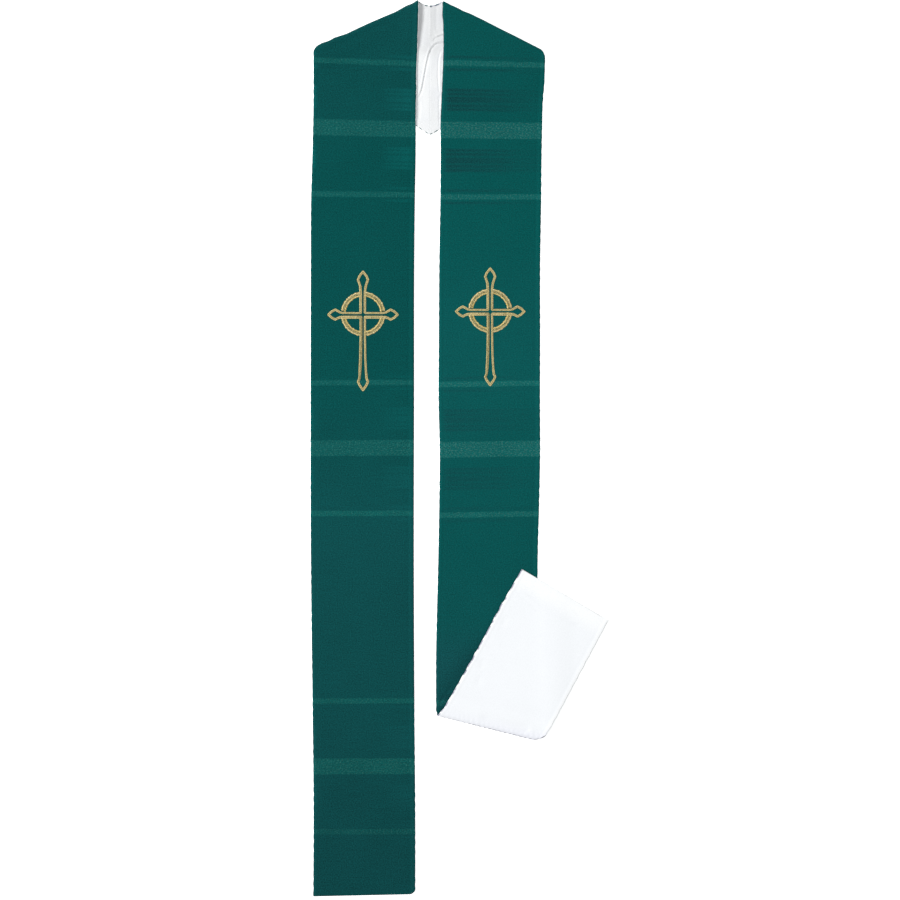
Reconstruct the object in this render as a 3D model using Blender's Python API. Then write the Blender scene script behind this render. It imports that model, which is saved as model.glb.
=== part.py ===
"""Clerical stole laid out on a flat surface: two lined bands joined by a seam at the back of the neck.

Each band is folded over at the shoulder, so that its back lies under its front, and the lower end of
the right band is turned up over its own front to show the lining. A ringed cross is worked on each.

Frame: metres, +Z up from the surface, +Y towards the neck, +X to the viewer's right. Left and right are
those of a viewer who faces the front. Plan sizes are taken from the neck seam and the top of the neck,
and an empty then moves the whole stole so that its box is centred over the origin.
"""

import math
from collections import namedtuple

import bmesh
import bpy
import numpy as np

MM = 0.001

# Cloth: a face cloth over a lining, sewn together edge to edge. AIR is left between folded layers.
BAND_WALL = 1.2 * MM
LINING_WALL = 1.0 * MM
SEAM_GAP = 0.3 * MM
CLOTH = BAND_WALL + SEAM_GAP + LINING_WALL
AIR = 0.7 * MM
STACK = CLOTH + AIR

# Back of the neck: a shallow dip above, and below it a vee whose point is rounded.
NECK_DIP = 5.5 * MM
NECK_DIP_REACH = 0.45
VEE_DOWN = 183.5 * MM
VEE_ROUND = 60.0 * MM
VEE_ROUND_SHARE = 0.09
BACK_SHARES = (0.0, 0.05, 0.11, 0.25, 0.5, 0.75)

# The front falls from the back's two layers to the surface over this margin and ramp.
COVER_MARGIN = 7.0 * MM
COVER_RAMP = 42.0 * MM

# The turned-up end falls past the band's edge in the same way.
DROOP_MARGIN = 5.0 * MM
DROOP_RAMP = 48.0 * MM

# Sections along a band: distance below the neck, then the inner and outer edges' distance from the seam.
Section = namedtuple("Section", "down inner outer")
LEFT_SECTIONS = [
    Section(0.0, 16.4, 159.5),
    Section(28.0, 17.8, 160.0),
    Section(68.0, 17.9, 160.1),
    Section(137.0, 19.3, 160.3),
    Section(206.0, 20.3, 161.6),
    Section(275.0, 21.1, 163.6),
    Section(357.0, 21.8, 163.9),
    Section(551.0, 22.1, 164.2),
    Section(758.0, 23.0, 163.9),
    Section(965.0, 22.1, 161.6),
    Section(1103.0, 20.8, 160.2),
    Section(1240.0, 20.7, 160.6),
]
RIGHT_SECTIONS = [
    Section(0.0, 16.8, 159.6),
    Section(28.0, 19.3, 159.2),
    Section(68.0, 19.6, 158.9),
    Section(137.0, 16.8, 156.1),
    Section(206.0, 15.6, 153.9),
    Section(275.0, 15.2, 153.2),
    Section(357.0, 13.8, 151.9),
    Section(468.0, 13.1, 151.8),
    Section(551.0, 12.8, 151.6),
    Section(620.0, 14.4, 151.8),
    Section(689.0, 13.8, 150.5),
    Section(771.0, 12.3, 148.4),
    Section(909.0, 9.3, 150.4),
    Section(1030.0, 9.8, 155.8),
]

# Shallow lifts of an edge off the surface. across is 0 at the inner edge and 1 at the outer edge.
Lift = namedtuple("Lift", "down half_length height across spread")
LEFT_LIFTS = [
    Lift(232.0, 82.0, 2.4, 1.0, 0.75),
    Lift(655.0, 90.0, 2.0, 0.0, 0.70),
    Lift(872.0, 88.0, 2.6, 1.0, 0.80),
    Lift(1085.0, 72.0, 1.8, 0.0, 0.65),
]
RIGHT_LIFTS = [
    Lift(246.0, 74.0, 2.2, 0.0, 0.70),
    Lift(632.0, 58.0, 3.0, 0.0, 0.80),
    Lift(700.0, 64.0, 2.0, 1.0, 0.60),
]

# Band: sign is the side of the seam, and the shoulder's edge runs from the neck to the corner.
Band = namedtuple("Band", "name sign sections lifts neck corner corner_down")
LEFT = Band("left", -1.0, LEFT_SECTIONS, LEFT_LIFTS, 15.9 * MM, 159.8 * MM, 64.5 * MM)
RIGHT = Band("right", 1.0, RIGHT_SECTIONS, RIGHT_LIFTS, 17.2 * MM, 158.6 * MM, 71.0 * MM)

# Straight hem of the left band: how far below the neck its two ends lie, and its rounded corner.
HEM_INNER_DOWN = 1228.5 * MM
HEM_OUTER_DOWN = 1231.5 * MM
HEM_CORNER = 5.0 * MM
HEM_CORNER_ROWS = 3

# Turned-up end of the right band: the edge of its fold, then the hem's two corners, as x and y.
TURN_INNER = np.array([10.1, -984.4]) * MM
TURN_OUTER = np.array([155.7, -1020.8]) * MM
END_INNER = np.array([127.3, -782.5]) * MM
END_OUTER = np.array([246.0, -852.5]) * MM
END_ROWS = 8

# The fold's outer corner is tucked in by this depth, over this run along the fold.
TUCK_DEPTH = 6.0 * MM
TUCK_RUN = 15.0 * MM

# A roll is a fold seen from its end: a half turn that goes on past flat by settle_angle, a straight
# slope, and a wide arc that brings the upper layer level again, STACK above the lower one.
Roll = namedtuple("Roll", "radius settle_angle settle_radius corner_pull")
SHOULDER_ROLL = Roll(2.9 * MM, 0.085, 60.0 * MM, 4.0 * MM)
END_ROLL = Roll(3.3 * MM, 0.130, 80.0 * MM, 2.5 * MM)
ROLL_ARC_STEPS = 8
ROLL_SETTLE_STEPS = 3

# Rows along the front: close together where it climbs over the back, and wider apart below.
CLIMB_LENGTH = 190.0 * MM
CLIMB_STEP = 16.0 * MM
FRONT_STEP = 34.0 * MM

# Columns across a band, and how strongly they crowd towards its two edges.
COLUMNS = 8
EDGE_CROWDING = 0.55

# Ringed cross, from its centre. An arm's outline is a table of half widths along the arm.
ArmPoint = namedtuple("ArmPoint", "along half_width")
LINE_WIDTH = 3.6 * MM
ARM_HALF = 3.0
HEAD_HALF = 7.1
SIDE_ARM = [
    ArmPoint(27.0, ARM_HALF),
    ArmPoint(31.5, 3.6),
    ArmPoint(35.5, 5.6),
    ArmPoint(38.0, HEAD_HALF),
    ArmPoint(43.0, 4.6),
    ArmPoint(47.2, 0.0),
]
TOP_ARM = [
    ArmPoint(31.0, ARM_HALF),
    ArmPoint(38.5, 3.9),
    ArmPoint(44.5, 5.8),
    ArmPoint(48.0, HEAD_HALF),
    ArmPoint(53.0, 5.0),
    ArmPoint(58.0, 0.0),
]
FOOT_ARM = [
    ArmPoint(33.0, ARM_HALF),
    ArmPoint(60.0, 3.5),
    ArmPoint(79.0, 4.5),
    ArmPoint(87.0, 5.2),
    ArmPoint(91.0, HEAD_HALF),
    ArmPoint(96.0, 4.9),
    ArmPoint(101.4, 0.0),
]
RING_RADIUS = 27.5 * MM
RING_WIDTH = 7.4 * MM
RING_RISE = 1.2 * MM
RING_STEPS = 10
CROSS_HEIGHT = 0.9 * MM
RING_HEIGHT = 0.7 * MM
RING_LIFT = 0.06 * MM
CROSS_CENTRES = {"left": (-92.2 * MM, -432.0 * MM), "right": (83.4 * MM, -428.0 * MM)}

# Where along a band its edges are searched for the ends of the two rolls, and in how many steps.
SHOULDER_DOWNS = (0.0, 200.0 * MM)
END_DOWNS = (900.0 * MM, 1030.0 * MM)
EDGE_TRIES = 200

SHARP_ANGLE = math.radians(40)

Finish = namedtuple("Finish", "colour roughness metallic")
FINISHES = {
    "green_cloth": Finish((0.005, 0.080, 0.076), 0.80, 0.0),
    "white_lining": Finish((0.86, 0.88, 0.90), 0.55, 0.0),
    "gold_thread": Finish((0.58, 0.42, 0.14), 0.42, 0.35),
}


def ease(value):
    """0 below 0 and 1 above 1, with a smooth step between."""
    value = np.clip(value, 0.0, 1.0)
    return value * value * (3.0 - 2.0 * value)


def unit(vector):
    """The same direction with length 1."""
    return vector / np.linalg.norm(vector)


def up_square(along):
    """The direction square to another in plan, on its upper side."""
    square = np.array([-along[1], along[0]])
    return square if square[1] > 0 else -square


def smooth_column(sections, column, down):
    """One column of the sections at a distance below the neck, on a smooth cubic through the rows."""
    downs = np.array([section.down for section in sections]) * MM
    values = np.array([getattr(section, column) for section in sections]) * MM
    slopes = np.gradient(values, downs)
    i = int(np.clip(np.searchsorted(downs, down) - 1, 0, len(downs) - 2))
    step = downs[i + 1] - downs[i]
    t = np.clip((down - downs[i]) / step, 0.0, 1.0)
    return (
        (1 + 2 * t) * (1 - t) ** 2 * values[i]
        + t * (1 - t) ** 2 * step * slopes[i]
        + t * t * (3 - 2 * t) * values[i + 1]
        + t * t * (t - 1) * step * slopes[i + 1]
    )


def edge_point(band, column, down):
    """The plan point of a band's inner or outer edge at a distance below the neck."""
    return np.array([band.sign * smooth_column(band.sections, column, down), -down])


def edge_on_line(band, column, origin, away, distance, downs):
    """Where a band's edge crosses the line at a distance from origin along away, between two downs."""
    tries = np.linspace(*downs, EDGE_TRIES)
    points = np.array([edge_point(band, column, down) for down in tries])
    reach = (points - origin) @ away - distance
    order = np.argsort(reach)
    return edge_point(band, column, np.interp(0.0, reach[order], tries[order]))


def roll_parts(roll):
    """Arc lengths of a roll's turn, slope and settling arc."""
    slope_drop = (
        roll.radius * (1 + math.cos(roll.settle_angle))
        - roll.settle_radius * (1 - math.cos(roll.settle_angle))
        - STACK
    )
    return (
        roll.radius * (math.pi + roll.settle_angle),
        slope_drop / math.sin(roll.settle_angle),
        roll.settle_radius * roll.settle_angle,
    )


def roll_at(roll, along):
    """Outward distance, height and turn of a roll's middle surface at an arc length from its start."""
    turn_length, slope_length, _ = roll_parts(roll)
    full_turn = math.pi + roll.settle_angle
    turn = min(along / roll.radius, full_turn)
    out = roll.radius * math.sin(turn)
    rise = roll.radius * (1 - math.cos(turn))
    if along > turn_length:
        slope = min(along - turn_length, slope_length)
        out -= slope * math.cos(roll.settle_angle)
        rise -= slope * math.sin(roll.settle_angle)
    if along > turn_length + slope_length:
        turn = max(math.pi, full_turn - (along - turn_length - slope_length) / roll.settle_radius)
        out += roll.settle_radius * (math.sin(full_turn) - math.sin(turn))
        rise += roll.settle_radius * (math.cos(turn) - math.cos(full_turn))
    return out, rise, turn


def roll_stations(roll):
    """Arc lengths of the rows across a roll, from its start to where the upper layer is level."""
    turn_length, slope_length, settle_length = roll_parts(roll)
    settle_start = turn_length + slope_length
    return np.concatenate(
        [
            np.linspace(0.0, turn_length, ROLL_ARC_STEPS + 1),
            np.linspace(settle_start, settle_start + settle_length, ROLL_SETTLE_STEPS + 1),
        ]
    )


def corner_pull(roll, along):
    """How far a roll's outer corner is pulled in: most at the fold's own edge, a quarter turn round."""
    return roll.corner_pull * math.exp(-((along / roll.radius - math.pi / 2) ** 2))


def upper_share(turn):
    """0 through the first two thirds of a half turn, rising to 1 where the upper layer is level."""
    return ease(3 * turn / math.pi - 2)


# A row runs across a band from its inner to its outer edge. away, rise and turn place it on a roll,
# and face is 1 where the face cloth is on the roll's outside. tuck is how far its outer corner is
# tucked in, against away, and extra(points) is added to its height.
Row = namedtuple("Row", "inner outer away rise turn face tuck extra")


def level(points):
    """No extra height."""
    return np.zeros(len(points))


def lower_edge(band):
    """Corner of the back's lower edge, its direction towards the corner, and its upward square."""
    corner = np.array([band.sign * band.corner, -band.corner_down])
    along = unit(corner - np.array([0.0, -VEE_DOWN]))
    return corner, along, up_square(along)


def cover(band, points):
    """1 where the front lies on the back, falling to 0 a ramp's width below the back's lower edge."""
    corner, _, upward = lower_edge(band)
    above = (points - corner) @ upward
    return ease((above + COVER_MARGIN + COVER_RAMP) / COVER_RAMP)


def lifts(band, points):
    """Height of the shallow lifts along a band's edges."""
    height = np.zeros(len(points))
    for lift in band.lifts:
        along = np.abs(-points[:, 1] - lift.down * MM) / (lift.half_length * MM)
        inner = smooth_column(band.sections, "inner", lift.down * MM)
        outer = smooth_column(band.sections, "outer", lift.down * MM)
        across = (np.abs(points[:, 0]) - inner) / (outer - inner)
        aside = np.abs(across - lift.across) / lift.spread
        height += lift.height * MM * (1 - ease(along)) * (1 - ease(aside))
    return height


def bend(start, middle, end, share):
    """A point on the quadratic curve that leaves start and reaches end, both heading for middle."""
    return (1 - share) ** 2 * start + 2 * share * (1 - share) * middle + share**2 * end


def back_rows(band, origin, back_outer, away):
    """Rows across the back of the neck, from the seam to the shoulder's fold."""
    seam_x = band.sign * SEAM_GAP / 2
    seam_top = np.array([seam_x, -NECK_DIP])
    seam_foot = np.array([seam_x, -VEE_DOWN])
    dip = np.array([origin[0] * NECK_DIP_REACH, -NECK_DIP])
    rows = []
    for share in BACK_SHARES:
        inner = bend(seam_top, dip, origin, share)
        outer = seam_foot + share * (back_outer - seam_foot)
        outer[1] -= VEE_ROUND * share * math.exp(-share / VEE_ROUND_SHARE)
        rows.append(Row(inner, outer, away, 0.0, 0.0, 1.0, 0.0, level))
    return rows


def shoulder_rows(band):
    """Rows from the seam at the back of the neck, round the shoulder, to where the front is level."""
    neck = np.array([band.sign * band.neck, 0.0])
    corner, lower_along, _ = lower_edge(band)
    along_fold = unit(corner - neck)
    away = up_square(along_fold)
    depth = SHOULDER_ROLL.radius + CLOTH / 2
    origin = neck - away * depth
    back_outer = corner - lower_along * depth / (lower_along @ away)
    rows = back_rows(band, origin, back_outer, away)
    stations = roll_stations(SHOULDER_ROLL)
    end_out = roll_at(SHOULDER_ROLL, stations[-1])[0]
    fronts = [
        edge_on_line(band, column, origin, away, end_out, SHOULDER_DOWNS)
        for column in ("inner", "outer")
    ]
    inner_span = [0.0, (fronts[0] - origin) @ along_fold]
    outer_span = [(back_outer - origin) @ along_fold, (fronts[1] - origin) @ along_fold]
    for along in stations:
        out, rise, turn = roll_at(SHOULDER_ROLL, along)
        ends = [0.0, stations[-1]]
        inner_along = np.interp(along, ends, inner_span)
        outer_along = np.interp(along, ends, outer_span) - corner_pull(SHOULDER_ROLL, along)
        inner = origin + away * out + along_fold * inner_along
        outer = origin + away * out + along_fold * outer_along

        def extra(points, share=upper_share(turn)):
            return -STACK * share * (1 - cover(band, points))

        rows.append(Row(inner, outer, away, rise, turn, 1.0, 0.0, extra))
    return rows


def front_rows(band, first, last_inner_down, last_outer_down):
    """Rows down the front, from just after the shoulder to the stated ends of its two edges."""
    length = (last_inner_down + last_outer_down + first.inner[1] + first.outer[1]) / 2
    climb = np.arange(CLIMB_STEP, CLIMB_LENGTH, CLIMB_STEP)
    count = round((length - climb[-1]) / FRONT_STEP)
    stations = np.concatenate([climb, np.linspace(climb[-1], length, count + 1)[1:]])

    def extra(points):
        return STACK * (cover(band, points) - 1) + lifts(band, points)

    rows = []
    for share in stations / length:
        inner_down = -first.inner[1] + share * (last_inner_down + first.inner[1])
        outer_down = -first.outer[1] + share * (last_outer_down + first.outer[1])
        inner = edge_point(band, "inner", inner_down)
        outer = edge_point(band, "outer", outer_down)
        rows.append(Row(inner, outer, first.away, STACK, math.pi, 1.0, 0.0, extra))
    return rows


def rounded_hem(rows):
    """The rows again, with more close to the last one whose inner ends follow a quarter circle."""
    before, last = rows[-2:]
    length = np.linalg.norm(last.inner - before.inner)
    across = unit(last.outer - last.inner)
    more = []
    for turn in np.linspace(0.0, math.pi / 2, HEM_CORNER_ROWS + 1):
        above = HEM_CORNER * (1 - math.sin(turn))
        inset = HEM_CORNER * (1 - math.cos(turn))
        inner = last.inner + (before.inner - last.inner) * above / length + across * inset
        outer = last.outer + (before.outer - last.outer) * above / length
        more.append(last._replace(inner=inner, outer=outer))
    return rows[:-1] + more


def end_rows():
    """Rows round the fold of the right band's turned-up end, and up to its hem."""
    along_fold = unit(TURN_OUTER - TURN_INNER)
    away = -up_square(along_fold)
    depth = END_ROLL.radius + CLOTH / 2
    origin = TURN_INNER - away * depth
    stations = roll_stations(END_ROLL)
    end_out = roll_at(END_ROLL, stations[-1])[0]
    starts = [
        edge_on_line(RIGHT, column, origin, away, 0.0, END_DOWNS) for column in ("inner", "outer")
    ]
    finishes = [
        corner + (end - corner) * (depth - end_out) / ((corner - end) @ away)
        for corner, end in ((TURN_INNER, END_INNER), (TURN_OUTER, END_OUTER))
    ]
    spans = [
        [(start - origin) @ along_fold, (finish - origin) @ along_fold]
        for start, finish in zip(starts, finishes)
    ]

    def droop(points):
        edge = np.array([edge_point(RIGHT, "outer", -y)[0] for y in points[:, 1]])
        return -STACK * ease((points[:, 0] - edge - DROOP_MARGIN) / DROOP_RAMP)

    rows = []
    for along in stations:
        out, rise, turn = roll_at(END_ROLL, along)
        inner, outer = (
            origin + away * out + along_fold * np.interp(along, [0.0, stations[-1]], span)
            for span in spans
        )
        outer = outer - along_fold * corner_pull(END_ROLL, along)

        def extra(points, share=upper_share(turn)):
            return share * droop(points)

        tuck = TUCK_DEPTH * (1 - ease(along / stations[-1]))
        rows.append(Row(inner, outer, away, rise, turn, -1.0, tuck, extra))
    for share in np.linspace(0.0, 1.0, END_ROWS + 1)[1:]:
        inner = finishes[0] + share * (END_INNER - finishes[0])
        outer = finishes[1] + share * (END_OUTER - finishes[1])
        rows.append(Row(inner, outer, away, STACK, math.pi, -1.0, 0.0, droop))
    return rows


def row_points(row, shares, height):
    """Points of a row at shares of its width and at one height above the lining's outer side."""
    offset = row.face * (height - CLOTH / 2)
    width = np.linalg.norm(row.outer - row.inner)
    plan = row.inner + shares[:, None] * (row.outer - row.inner)
    near_corner = np.clip(1 - (1 - shares) * width / TUCK_RUN, 0.0, 1.0) ** 2
    plan = plan - row.away * (row.tuck * near_corner)[:, None]
    up = CLOTH / 2 + row.rise + row.extra(plan) - offset * math.cos(row.turn)
    plan = plan + row.away * (offset * math.sin(row.turn))
    return np.column_stack([plan, up])


def columns():
    """Shares of a band's width, from its inner to its outer edge, crowded towards both."""
    even = np.linspace(0.0, 1.0, COLUMNS + 1)
    return even - EDGE_CROWDING * np.sin(2 * math.pi * even) / (2 * math.pi)


def new_object(name, mesh, material):
    """Links a bmesh as a named object with one material."""
    bmesh.ops.recalc_face_normals(mesh, faces=mesh.faces[:])
    data = bpy.data.meshes.new(name)
    mesh.to_mesh(data)
    mesh.free()
    data.materials.append(material)
    data.shade_smooth()
    data.set_sharp_from_angle(angle=SHARP_ANGLE)
    made = bpy.data.objects.new(name, data)
    bpy.context.scene.collection.objects.link(made)
    return made


def build_wall(name, rows, low, high, material):
    """One layer of cloth: a closed wall between two heights, carried along the rows."""
    mesh = bmesh.new()
    shares = columns()
    loops = []
    for row in rows:
        ring = [*row_points(row, shares, high), *row_points(row, shares, low)[::-1]]
        loops.append([mesh.verts.new(point) for point in ring])
    for near, far in zip(loops, loops[1:]):
        for i in range(len(near)):
            j = (i + 1) % len(near)
            mesh.faces.new((near[i], near[j], far[j], far[i]))
    mesh.faces.new(loops[0][::-1])
    mesh.faces.new(loops[-1])
    bmesh.ops.triangulate(mesh, faces=mesh.faces[:])
    return new_object(name, mesh, material)


def build_band(band, rows, cloth, lining):
    """The face cloth and the lining of one band, from the same rows."""
    face_low = LINING_WALL + SEAM_GAP
    face = build_wall(f"band_{band.name}", rows, face_low, CLOTH, cloth)
    back = build_wall(f"lining_{band.name}", rows, 0.0, LINING_WALL, lining)
    return [face, back]


def arm_points(arm, turn):
    """One arm's outline from its inner corner, round its tip and back, turned about the centre."""
    near = [(point.half_width, point.along) for point in arm]
    far = [(-width, along) for width, along in near[-2::-1]]
    points = np.array([(ARM_HALF, ARM_HALF), *near, *far]) * MM
    cosine, sine = math.cos(turn), math.sin(turn)
    return points @ np.array([[cosine, sine], [-sine, cosine]])


def offset_loop(points, distance):
    """A closed outline moved outwards by a distance, with mitred corners."""
    ahead = np.roll(points, -1, axis=0) - points
    ahead /= np.linalg.norm(ahead, axis=1)[:, None]
    squares = np.column_stack([ahead[:, 1], -ahead[:, 0]])
    bisector = squares + np.roll(squares, 1, axis=0)
    return points + distance * 2 * bisector / (bisector**2).sum(axis=1)[:, None]


def cross_outline(centre, side):
    """The cross's outline about its centre, moved out or in by half a line's width."""
    arms = ((TOP_ARM, 0.0), (SIDE_ARM, math.pi / 2), (FOOT_ARM, math.pi), (SIDE_ARM, -math.pi / 2))
    outline = np.concatenate([arm_points(arm, turn) for arm, turn in arms]) + centre
    return offset_loop(outline, side * LINE_WIDTH / 2)


def raised_line(name, outer, inner, low, high, material):
    """A wall that follows a closed outline, between its outer and inner sides and two heights."""
    mesh = bmesh.new()
    outlines = ((outer, low), (outer, high), (inner, high), (inner, low))
    loops = [[mesh.verts.new((*point, height)) for point in outline] for outline, height in outlines]
    for near, far in zip(loops, [*loops[1:], loops[0]]):
        for i in range(len(near)):
            j = (i + 1) % len(near)
            mesh.faces.new((near[i], near[j], far[j], far[i]))
    return new_object(name, mesh, material)


def ring_quarters(name, centre, low, high, material):
    """The four quarters of the ring, each running into the lines of two arms, as a joiner."""
    mesh = bmesh.new()
    middle = centre + np.array([0.0, RING_RISE])
    reach = math.asin(ARM_HALF * MM / RING_RADIUS)
    for quarter in range(4):
        start = quarter * math.pi / 2 + reach
        angles = np.linspace(start, start + math.pi / 2 - 2 * reach, RING_STEPS + 1)
        compass = np.column_stack([np.cos(angles), np.sin(angles)])
        radii = (RING_RADIUS + RING_WIDTH / 2, RING_RADIUS - RING_WIDTH / 2)
        outline = np.concatenate([radii[0] * compass, radii[1] * compass[::-1]]) + middle
        foot, top = ([mesh.verts.new((*point, height)) for point in outline] for height in (low, high))
        mesh.faces.new(foot[::-1])
        mesh.faces.new(top)
        for i in range(len(outline)):
            j = (i + 1) % len(outline)
            mesh.faces.new((foot[i], foot[j], top[j], top[i]))
    made = new_object(name, mesh, material)
    made.hide_render = True
    made.display_type = "WIRE"
    return made


def build_cross(name, centre, material):
    """A raised outline cross with a ring, just clear of the cloth that carries it."""
    low = CLOTH + SEAM_GAP
    outer, inner = (cross_outline(centre, side) for side in (1, -1))
    cross = raised_line(f"cross_{name}", outer, inner, low, low + CROSS_HEIGHT, material)
    ring_low = low + RING_LIFT
    ring = ring_quarters(f"ring_{name}_joiner", centre, ring_low, low + RING_HEIGHT, material)
    join = cross.modifiers.new("ring", "BOOLEAN")
    join.operation = "UNION"
    join.solver = "EXACT"
    join.object = ring
    return [cross, ring]


def new_material(name):
    """A Principled material from the finish of that name."""
    finish = FINISHES[name]
    material = bpy.data.materials.new(name)
    material.use_nodes = True
    shader = material.node_tree.nodes["Principled BSDF"]
    shader.inputs["Base Color"].default_value = (*finish.colour, 1.0)
    shader.inputs["Roughness"].default_value = finish.roughness
    shader.inputs["Metallic"].default_value = finish.metallic
    return material


def centre_on_origin(objects):
    """Parents everything to an empty that puts the middle of the stole's box over the origin."""
    points = np.array([vertex.co for made in objects for vertex in made.data.vertices])
    middle = (points.min(axis=0) + points.max(axis=0)) / 2
    laid_out = bpy.data.objects.new("laid_out", None)
    bpy.context.scene.collection.objects.link(laid_out)
    laid_out.location = (-middle[0], -middle[1], 0.0)
    for made in objects:
        made.parent = laid_out


def main():
    """Builds the whole stole."""
    for old in list(bpy.data.objects):
        bpy.data.objects.remove(old)
    cloth, lining, gold = (new_material(name) for name in FINISHES)
    left = shoulder_rows(LEFT)
    left = rounded_hem(left + front_rows(LEFT, left[-1], HEM_INNER_DOWN, HEM_OUTER_DOWN))
    right = shoulder_rows(RIGHT)
    turned_up = end_rows()
    start = turned_up[0]
    right += front_rows(RIGHT, right[-1], -start.inner[1], -start.outer[1])[:-1]
    right += turned_up
    objects = build_band(LEFT, left, cloth, lining) + build_band(RIGHT, right, cloth, lining)
    for name, centre in CROSS_CENTRES.items():
        objects += build_cross(name, np.array(centre), gold)
    centre_on_origin(objects)


main()
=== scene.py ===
"""Looks of a clerical stole laid out flat: two lined bands of green cloth, each with a ringed cross.

Frame: metres, +Z up from the surface, +Y towards the neck, +X to the viewer's right. The garment's own
coordinates, in which the bands, creases and crosses are laid out, start at the neck seam and at the top
of the neck; the frame's box says how far they are moved.
"""

import logging
import math
from collections.abc import Callable
from dataclasses import dataclass
from enum import Enum
from typing import NamedTuple

import bpy
import numpy as np
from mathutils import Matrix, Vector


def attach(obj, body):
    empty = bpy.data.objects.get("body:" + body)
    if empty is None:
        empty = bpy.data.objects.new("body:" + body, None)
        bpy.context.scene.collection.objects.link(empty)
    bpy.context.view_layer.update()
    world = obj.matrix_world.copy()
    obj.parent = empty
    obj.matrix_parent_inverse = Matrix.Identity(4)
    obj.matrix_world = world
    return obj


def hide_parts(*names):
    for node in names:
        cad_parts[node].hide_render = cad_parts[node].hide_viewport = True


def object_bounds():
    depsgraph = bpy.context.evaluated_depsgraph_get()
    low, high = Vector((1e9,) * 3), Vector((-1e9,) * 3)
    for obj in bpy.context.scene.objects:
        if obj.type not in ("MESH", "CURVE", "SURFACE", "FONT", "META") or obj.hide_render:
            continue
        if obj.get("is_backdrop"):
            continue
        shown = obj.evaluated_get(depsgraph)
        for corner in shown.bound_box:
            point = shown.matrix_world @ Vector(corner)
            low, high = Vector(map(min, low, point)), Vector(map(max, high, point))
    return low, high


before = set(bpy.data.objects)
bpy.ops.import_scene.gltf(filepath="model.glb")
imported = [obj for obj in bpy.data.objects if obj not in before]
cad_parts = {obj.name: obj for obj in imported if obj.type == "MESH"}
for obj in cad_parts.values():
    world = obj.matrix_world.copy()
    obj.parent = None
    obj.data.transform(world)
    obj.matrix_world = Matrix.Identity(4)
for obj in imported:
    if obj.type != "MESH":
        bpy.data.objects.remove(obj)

MM = 0.001

# Cloth: a face cloth over a lining, sewn together edge to edge. AIR is left between folded layers.
BAND_WALL = 1.2 * MM
LINING_WALL = 1.0 * MM
SEAM_GAP = 0.3 * MM
SEAM_DRAWN = 0.06 * MM
CLOTH = BAND_WALL + SEAM_GAP + LINING_WALL
AIR = 0.7 * MM
STACK = CLOTH + AIR
CUT_WIDTH = 142.0 * MM

# The frame's box, and the garment's place in it, in mm: how far the neck seam is from the box's left
# side, and how far the line at the neck's top is above the box.
CAD_LOW, CAD_HIGH = (np.array(corner, dtype=float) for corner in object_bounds())
GARMENT_OUTER_LEFT = 164.22
GARMENT_TOP_ABOVE = 0.86

FULL_TURN = 2 * math.pi
WHITE = (1.0, 1.0, 1.0, 1.0)
Array = np.ndarray
Pair = tuple[float, float]
Colour = tuple[float, float, float, float]

log = logging.getLogger("stole")


# Shader maths


def operator(operation: str, swapped: bool = False) -> Callable[["Term", "Term | float"], "Term"]:
    """Makes an operator of shader maths.

    Args:
        operation: The Math node's operation.
        swapped: Whether the other value comes first, as in a reflected form.

    Returns:
        The method for a term.
    """

    def apply(term: "Term", other: "Term | float") -> "Term":
        """The result of the operation on a term and another value."""
        return term.maths(operation, *((other, term) if swapped else (term, other)))

    return apply


class Term:
    """A socket in shader maths. Expressions on it add Math nodes to its graph."""

    __add__ = operator("ADD")
    __radd__ = operator("ADD", swapped=True)
    __sub__ = operator("SUBTRACT")
    __rsub__ = operator("SUBTRACT", swapped=True)
    __mul__ = operator("MULTIPLY")
    __rmul__ = operator("MULTIPLY", swapped=True)

    def __init__(self, graph: "Graph", socket: bpy.types.NodeSocket) -> None:
        """Wraps an output socket of a graph, which new nodes go into."""
        self.graph = graph
        self.socket = socket

    def maths(self, operation: str, *values: "Term | float") -> "Term":
        """The result of a new Math node with an operation and its inputs in order."""
        return self.graph.add("ShaderNodeMath", {"operation": operation}, dict(enumerate(values)))

    def __abs__(self) -> "Term":
        """Its size without its sign."""
        return self.maths("ABSOLUTE", self)

    def within(self, low: float, high: float) -> "Term":
        """0 below low and 1 above high, with a smooth step between.

        Args:
            low: Where the result is 0.
            high: Where it is 1, which may be the lower one.

        Returns:
            The step.
        """
        (low, start), (high, end) = sorted([(low, 0.0), (high, 1.0)])
        sockets = {"Value": self, "From Min": low, "From Max": high, "To Min": start, "To Max": end}
        return self.graph.add("ShaderNodeMapRange", {"interpolation_type": "SMOOTHSTEP"}, sockets)

    def at_most(self, high: float) -> "Term":
        """This, or high where it is more."""
        return self.maths("MINIMUM", self, high)

    def wrapped(self, repeat: float) -> "Term":
        """This less the nearest whole number of repeats."""
        return self.maths("WRAP", self, repeat / 2, -repeat / 2)

    def line(self, centre: float, half: float, soft: float) -> "Term":
        """1 within half of a centre, falling to 0 over a soft edge on both sides."""
        return abs(self - centre).within(half + soft, half - soft)

    def wave(self, pitch: float) -> "Term":
        """A sine of this value, from -1 to 1, that repeats after a pitch."""
        return self.maths("SINE", self * (FULL_TURN / pitch))


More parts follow.
